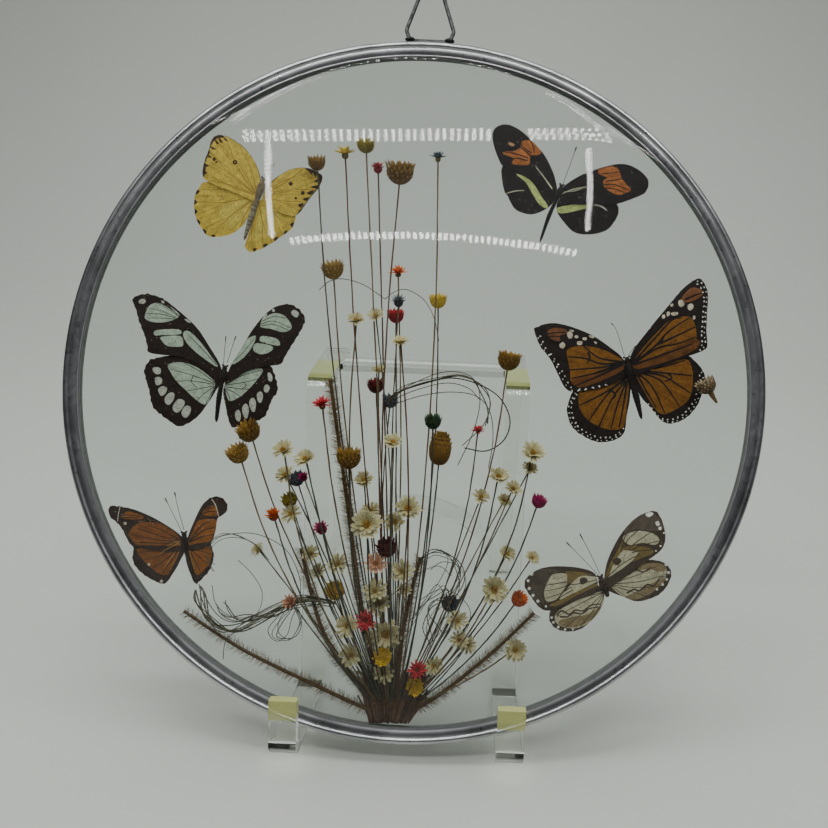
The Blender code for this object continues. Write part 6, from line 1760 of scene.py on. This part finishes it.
def cream_specimen():
    cream = (0.42, 0.40, 0.27)
    tan = (0.20, 0.15, 0.075)
    ochre = (0.15, 0.105, 0.03)
    brown = (0.045, 0.03, 0.018)
    left_fore = ((598.2, 586.1), (594.8, 573.4), (577.9, 567.6), (552.4, 566.3), (536.7, 570),
        (525.8, 578.5), (524.5, 586.9), (530.6, 596.6), (539.1, 607.5), (548.8, 611), (560.9, 606.7),
        (577.9, 599.4), (599.2, 590.2))
    left_hind = ((552.4, 606.8), (548.8, 616), (551.2, 624.5), (558.5, 630), (570.6, 631.8),
        (582.7, 628.1), (594.8, 617.2), (602.1, 606.3), (604.5, 596.6), (600.7, 585.7), (577.9, 592),
        (562.1, 600.5))
    right_fore = ((604.1, 580.5), (606.9, 562.7), (614.2, 545.7), (623.9, 530), (637.2, 516.7),
        (653, 510.6), (659, 514.2), (663.9, 525.1), (665.7, 538.5), (662.7, 548.2), (655.4, 555.2),
        (643.3, 563.3), (631.2, 573), (607, 587.9))
    right_hind = ((606, 582.5), (631.2, 566.8), (643.3, 560.3), (657.8, 560.3), (667.5, 565.1),
        (671.8, 573.6), (668.7, 583.3), (662.7, 591.8), (653, 597.8), (637.2, 601.5), (622.7, 596.6),
        (608, 590.4))
    root = (602, 583)
    fore_l = filled((((526.7, 575.8), (536.4, 570), (553.9, 569), (557.8, 571.9), (550, 579.7),
        (542.2, 591.4), (544.2, 602.1), (536.4, 601.1), (528.6, 589.4)),), (0.075, 0.058, 0.042))
    fore_l += filled((((552.9, 574.3), (565.9, 573.9), (567.9, 581.7), (560.7, 594.3), (554.9, 600.1),
        (546.1, 601.1), (544.2, 590.4), (549, 579.7)), ((573.3, 581.7), (582.1, 575.8), (597.6, 577.4),
        (596.7, 581.7), (579.2, 590.4), (561.7, 600.1), (560.7, 596.2), (568.5, 587.5))), cream)
    fore_l += filled((((565.9, 571.6), (579.2, 571.9), (592.8, 574.9), (581.1, 575.8), (573.3, 581.7),
        (567.9, 583.6), (567.1, 575.8)), ((549, 605.4), (563.6, 598.2), (579.2, 590.4), (596.7, 583.6),
        (596.7, 585.9), (579.2, 594.3), (559.7, 605))), ochre)
    fore_l += filled((((580.1, 578.7), (585, 577.4), (587.9, 580.7), (583.4, 584.6), (580.1, 583.2)),),
        brown, 2)
    fore_l += lines((((567.9, 581.7), (556.8, 583.6), (544.2, 585.6)), ((569.4, 584.6), (558.7, 588.5),
        (543.2, 591.4)), ((571.4, 587.1), (560.7, 593.3), (546.1, 598.2)), ((573.3, 589.4), (563.6, 595.3),
        (551, 603.4)), ((553.9, 570), (551.9, 574.3), (548.1, 578.7)), ((597.6, 579.7), (573.3, 584.6),
        (567.1, 581.7))), brown, 1, 0.7)
    fore_l += dots(((531.6, 574, 1.9), (528.2, 580.8, 1.5), (529.2, 588.5, 1.6), (533, 595.4, 1.6), (538,
        601.2, 1.6), (546, 606.4, 1.2)), WHITE) + flecks(left_fore, 50, (brown, tan), 0.45)
    fore_r = filled((((623.9, 529.2), (639.4, 514.6), (651.1, 511.7), (659.9, 519.4), (662.8, 529.2),
        (651.1, 531.1), (635.6, 529.2), (626.8, 534)),), (0.085, 0.065, 0.048))
    fore_r += filled((((622.9, 537.9), (626.8, 534), (639.4, 530.7), (654, 534), (659.3, 539.9),
        (655, 545.1), (643.3, 542.8), (631.7, 545.1), (625.8, 542.8)), ((607.4, 575.8), (613.2, 564.2),
        (621, 552.5), (628.7, 547.6), (639.4, 549.6), (631.7, 561.2), (620, 570), (609.3, 576.8))), cream)
    fore_r += filled((((621, 549.6), (631.7, 545.7), (647.2, 547.1), (654, 552.5), (641.4, 558.3),
        (631.7, 561.2), (639.4, 552.5)), ((605.4, 576.8), (610.3, 563.2), (618.1, 549.6), (623.9, 538.9),
        (621, 550.6), (614.2, 563.2), (608.7, 575.8))), ochre)
    fore_r += filled((((612.8, 559.3), (619, 557.9), (621.6, 561.2), (618.1, 565.1), (613.8, 564.2)),),
        brown, 2)
    fore_r += lines((((627.8, 549.6), (635.6, 542.8), (651.1, 532.1)), ((629.7, 550.6), (641.4, 545.7),
        (658.9, 540.8)), ((631.7, 552.5), (643.3, 550.6), (658.9, 549.6)), ((623.9, 547.6), (628.7, 538.9),
        (639.4, 529.2)), ((606.4, 577.8), (621.9, 564.2), (639.4, 554.4)), ((621, 550.6), (626.8, 533.1),
        (641.4, 515.9))), brown, 1.1, 0.8)
    fore_r += filled((((645.7, 513.6), (651.1, 512.1), (653.4, 514), (649.2, 517.1), (646.1, 515.9)),
        ((655.4, 522.4), (658.5, 521), (659.7, 524.9), (656.9, 526.1)), ((658.5, 527.6), (661.2, 526.8),
        (661.2, 529.9), (658.9, 529.9))), WHITE, 2)
    fore_r += dots(((660.5, 546, 1), (664, 533, 1), (656, 551, 0.9)), WHITE) + flecks(right_fore, 50,
        (brown, tan), 0.45)
    hind_l = filled((((556.8, 612.8), (569.4, 603.4), (585, 597.2), (601.5, 591.4), (605.4, 599.2),
        (598.6, 611.8), (588.9, 622.9), (575.3, 628.3), (561.7, 626.4), (554.9, 620.6)),), cream)
    hind_l += filled((((558.7, 620.9), (573.3, 616.7), (588.9, 613.7), (600.6, 606), (598.6, 612.8),
        (588.9, 621.5), (575.3, 627.4), (561.7, 626)),), tan)
    hind_l += lines((((556.8, 615.1), (561.7, 610.8), (569.4, 614.3), (575.3, 610.1), (583.1, 610.8),
        (590.8, 605.4), (600.6, 604)), ((559.7, 616.7), (567.5, 616.7), (573.3, 612.8), (582.1, 613.7),
        (588.9, 608.9), (598.6, 606.9))), brown, 1.9, 1.2)
    hind_l += lines((((603.5, 592.4), (581.1, 603.1), (556.8, 616.7)), ((603.7, 592.9), (586.9, 608.9),
        (565.6, 627.4)), ((604.1, 593.7), (592.8, 610.8), (579.2, 628.7)), ((604.4, 594.5), (598.6, 608.9),
        (589.9, 622.5)), ((603.5, 592), (581.1, 598.2), (563.6, 606.9))), brown, 0.9, 0.6)
    hind_l += dots(((551.6, 617.4, 1.2), (553.4, 622.3, 1.4), (558.2, 627, 1.3), (565.2, 629.4, 1.2), (573,
        629.4, 0.9)), WHITE) + flecks(left_hind, 70, (brown, tan), 0.5)
    hind_r = filled((((611.2, 583.2), (623.9, 573.9), (639.4, 567.1), (651.1, 564.2), (662.8, 564.6),
        (666.7, 571.9), (662.8, 581.7), (651.1, 592.4), (635.6, 598.8), (623.9, 596.8), (615.1, 590.4)),),
        cream)
    hind_r += filled((((623.9, 570), (639.4, 564.6), (660.8, 563.2), (665.7, 570), (658.9, 571.9),
        (649.2, 569), (635.6, 571)), ((623.9, 597.6), (637.5, 591.4), (651.1, 583.6), (663.7, 577.8),
        (662.8, 583.6), (651.1, 593.3), (635.6, 599.6))), tan)
    hind_r += lines((((626.8, 593.3), (633.6, 589.4), (639.4, 590.6), (647.2, 584.6), (654, 585.6),
        (659.9, 577.8), (664.7, 576.8)), ((628.7, 574.3), (635.6, 570), (643.3, 571.9), (651.1, 567.1))),
        brown, 1.9, 1.2)
    hind_r += lines((((610.3, 583.6), (635.6, 575.8), (658.9, 565.1)), ((610.3, 584), (639.4, 581.7),
        (667.6, 573.9)), ((610.7, 584.6), (635.6, 587.5), (659.9, 586.5)), ((611.2, 585.2), (627.8, 590.4),
        (645.3, 596.2)), ((611.8, 585.9), (620, 592.4), (629.7, 598.8))), brown, 0.9, 0.6)
    hind_r += dots(((665.8, 564.9, 1.4), (668.6, 572.6, 1.5), (666.7, 579.4, 1.4), (662.6, 584.6, 1.4),
        (657, 589.4, 1.2)), WHITE) + flecks(right_hind, 70, (brown, tan), 0.5)
    return {
        "node": "cream_brown_butterfly", "slot": "cream_brown_butterfly_scales", "ground": brown,
        "body": ((608, 597), (606, 591), (603, 584.5), (600, 575.5)), "widths": (4, 6, 8, 6),
        "body_colours": ((0.03, 0.02, 0.015), (0.05, 0.03, 0.018)),
        "antennae": (((598, 575), (582, 558), (566.3, 542.1)), ((600, 574), (590, 553), (579.7, 533.6))),
        "fore": ((left_fore, fore_l), (right_fore, fore_r)), "hind": ((left_hind, hind_l),
        (right_hind, hind_r)), "root": root,
        "streak": 0.15, "scallop": 0.5,
    }


def make_butterfly(spec):
    """Four wings and a body in the place of one specimen's node."""
    node = spec["node"]
    plane = node_plane(node, spec["body"][2], spec["body"][3], spec["body"][0])
    root = np.array(spec["root"], dtype=float)
    for kind, height in (("hind", -0.12 * MM), ("fore", 0.3 * MM)):
        for side, (outline, layers) in zip(("left", "right"), spec[kind]):
            name = f"{node}_{side}_{kind}wing"
            shape = wing_mesh(outline, layers, spec, plane, height, root)
            shape.build(name, WING, spec["slot"], [node])
    insect_body(spec, plane).build(node + "_body", BODY, spec["slot"], [node])


# Room: floor, lights and camera

FLOOR_FRONT = -1.6
FLOOR_BACK = 0.55
FLOOR_HALF_WIDTH = 2.5
SWEEP_RADIUS = 0.5
SWEEP_STEPS = 40
WALL_TOP = 2.4


def make_room():
    """A pale floor that sweeps up into a wall behind the frame."""
    material, tree, shader = node_material("pale_floor")
    colour = coloured(tree, object_noise(tree, 3, 3), (0.50, 0.525, 0.48), (0.54, 0.565, 0.52))
    tree.links.new(colour, shader.inputs["Base Color"])
    shader.inputs["Roughness"].default_value = 0.75
    profile = [(FLOOR_FRONT, 0.0), (FLOOR_BACK, 0.0)]
    for angle in np.linspace(0, 1, SWEEP_STEPS)[1:] * math.pi / 2:
        profile.append((FLOOR_BACK + SWEEP_RADIUS * math.sin(angle), SWEEP_RADIUS * (1 - math.cos(angle))))
    profile.append((FLOOR_BACK + SWEEP_RADIUS, WALL_TOP))
    points = [(x, y, z) for y, z in profile for x in (-FLOOR_HALF_WIDTH, FLOOR_HALF_WIDTH)]
    mesh = bpy.data.meshes.new("floor")
    mesh.from_pydata(points, [], grid_faces(len(profile), 2))
    mesh.shade_smooth()
    mesh.materials.append(material)
    floor = bpy.data.objects.new("floor", mesh)
    bpy.context.scene.collection.objects.link(floor)


def area_light(name, place_at, aim, size, power):
    data = bpy.data.lights.new(name, "AREA")
    data.shape = "SQUARE"
    data.size = size
    data.energy = power
    light = bpy.data.objects.new(name, data)
    light.location = place_at
    light.rotation_euler = (Vector(aim) - Vector(place_at)).to_track_quat("-Z", "Y").to_euler()
    bpy.context.scene.collection.objects.link(light)
    return light


def mirrored_to_ceiling(pixel):
    """Where the ray of a pixel arrives on the lamp's level after the front dome mirrors it."""
    way = rays([pixel])[0]
    way /= np.linalg.norm(way)
    centre = np.array((0.0, 0.0, -SPHERE_DROP))
    start = EYE - centre
    half = start @ way
    distance = -half - math.sqrt(half * half - start @ start + SPHERE_RADIUS ** 2)
    spot = EYE + way * distance
    normal = (spot - centre) / SPHERE_RADIUS
    bounced = way - 2 * (way @ normal) * normal
    spot = TO_WORLD[:3, :3] @ spot + TO_WORLD[:3, 3]
    bounced = TO_WORLD[:3, :3] @ bounced
    return spot + bounced * ((LAMP_HEIGHT - spot[2]) / bounced[2])


# The lamp's rows of small lights, as the glass shows them: pixels of each row, spacing, size along and
# across; the top rows leave out what the wing tips cover
LAMP_ROWS = (
    (((241, 131.5), (491, 130)), 7.4, 3.6, 3.4),
    (((241, 136.8), (491, 135.5)), 7.4, 3.6, 3.4),
    (((527, 130), (620, 129.5)), 7.4, 3.6, 3.4),
    (((529, 135.5), (620, 134.8)), 7.4, 3.6, 3.4),
    (((288, 240.5), (330, 236.5), (380, 234.5), (430, 235), (480, 238.5), (530, 244.5), (575, 252)),
     6.2, 3.4, 5.6),
    (((267.5, 140), (267, 185), (271, 238)), 4.4, 2.4, 5.2),
    (((589, 147), (591, 190), (588, 230)), 4.4, 2.4, 5.2),
)
LAMP_HEIGHT = 0.62
LAMP_STRENGTH = 75.0


def make_lamp():
    """The light box's lamp: rows of small lights above the frame."""
    points, faces = [], []
    for pixels, spacing, along, across in LAMP_ROWS:
        line = smooth_line(np.array(pixels, dtype=float), 10)
        for s in np.arange(spacing / 2, lengths_along(line)[-1], spacing):
            behind, middle, ahead = spots_along(line, (s - 1, s, s + 1))
            way = unit(ahead - behind)
            side = np.array((-way[1], way[0]))
            base = len(points)
            for a, b in ((-1, -1), (1, -1), (1, 1), (-1, 1)):
                points.append(mirrored_to_ceiling(middle + way * a * along / 2 + side * b * across / 2))
            faces.append((base, base + 1, base + 2, base + 3))
    material = bpy.data.materials.new("lamp_light")
    material.use_nodes = True
    shader = material.node_tree.nodes["Principled BSDF"]
    shader.inputs["Base Color"].default_value = (0.8, 0.8, 0.8, 1)
    shader.inputs["Emission Color"].default_value = (1, 1, 1, 1)
    shader.inputs["Emission Strength"].default_value = LAMP_STRENGTH
    mesh = bpy.data.meshes.new("lamp_lights")
    mesh.from_pydata([tuple(p) for p in points], [], faces)
    mesh.materials.append(material)
    lamp = bpy.data.objects.new("lamp_lights", mesh)
    bpy.context.scene.collection.objects.link(lamp)


def make_lights():
    """Soft light from above, with a sky that darkens towards the horizon and below it."""
    world = bpy.data.worlds.new("soft_light")
    bpy.context.scene.world = world
    world.use_nodes = True
    tree = world.node_tree
    background = tree.nodes["Background"]
    coordinates = tree.nodes.new("ShaderNodeTexCoord")
    parts = tree.nodes.new("ShaderNodeSeparateXYZ")
    tree.links.new(coordinates.outputs["Generated"], parts.inputs["Vector"])
    ramp = tree.nodes.new("ShaderNodeValToRGB")
    ramp.color_ramp.elements[0].position = 0.5
    ramp.color_ramp.elements[0].color = (0.06, 0.06, 0.065, 1)
    ramp.color_ramp.elements[1].position = 0.86
    ramp.color_ramp.elements[1].color = (0.93, 0.95, 0.96, 1)
    tree.links.new(parts.outputs["Z"], ramp.inputs["Fac"])
    tree.links.new(ramp.outputs["Color"], background.inputs["Color"])
    background.inputs["Strength"].default_value = 0.72
    top = area_light("top_light", (0.0, 0.45, 1.3), (0.0, 0.8, 0.5), size=1.2, power=12.5)
    top.visible_glossy = False


def make_camera():
    """A camera square to the rim's plane, shifted and rolled a little as in the photograph."""
    data = bpy.data.cameras.new("camera")
    data.sensor_width = SENSOR
    data.lens = FOCAL_PIXELS / FRAME_PIXELS * SENSOR
    data.shift_x = (FRAME_PIXELS / 2 - VIEW_AXIS[0]) / FRAME_PIXELS
    data.shift_y = (VIEW_AXIS[1] - FRAME_PIXELS / 2) / FRAME_PIXELS
    data.clip_start = 0.01
    camera = bpy.data.objects.new("camera", data)
    right = np.append(rolled((1.0, 0.0)), 0.0)
    up = np.append(rolled((0.0, 1.0)), 0.0)
    local = Matrix(np.column_stack((right, up, (0.0, 0.0, 1.0))).tolist()).to_4x4()
    local.translation = Vector(EYE)
    camera.matrix_world = RIM_MATRIX @ local
    bpy.context.scene.collection.objects.link(camera)
    bpy.context.scene.camera = camera


def main():
    make_rim()
    glass = glass_material("dome_glass", (0.955, 0.965, 0.96), 12)
    make_glass("front_glass", 1, glass)
    make_glass("back_glass", -1, glass)
    dress_node("hanging_loop", wire_material())
    dress_node("easel", acrylic_material(), 0.7 * MM)
    for specimen in (yellow_specimen, black_specimen, pale_specimen, monarch_specimen, orange_specimen,
                     cream_specimen):
        make_butterfly(specimen())
    make_foot()
    make_bristly_stems()
    make_flowers()
    make_small_flowers()
    make_strands()
    make_loose_bud()
    make_room()
    make_lights()
    make_lamp()
    make_camera()


main()
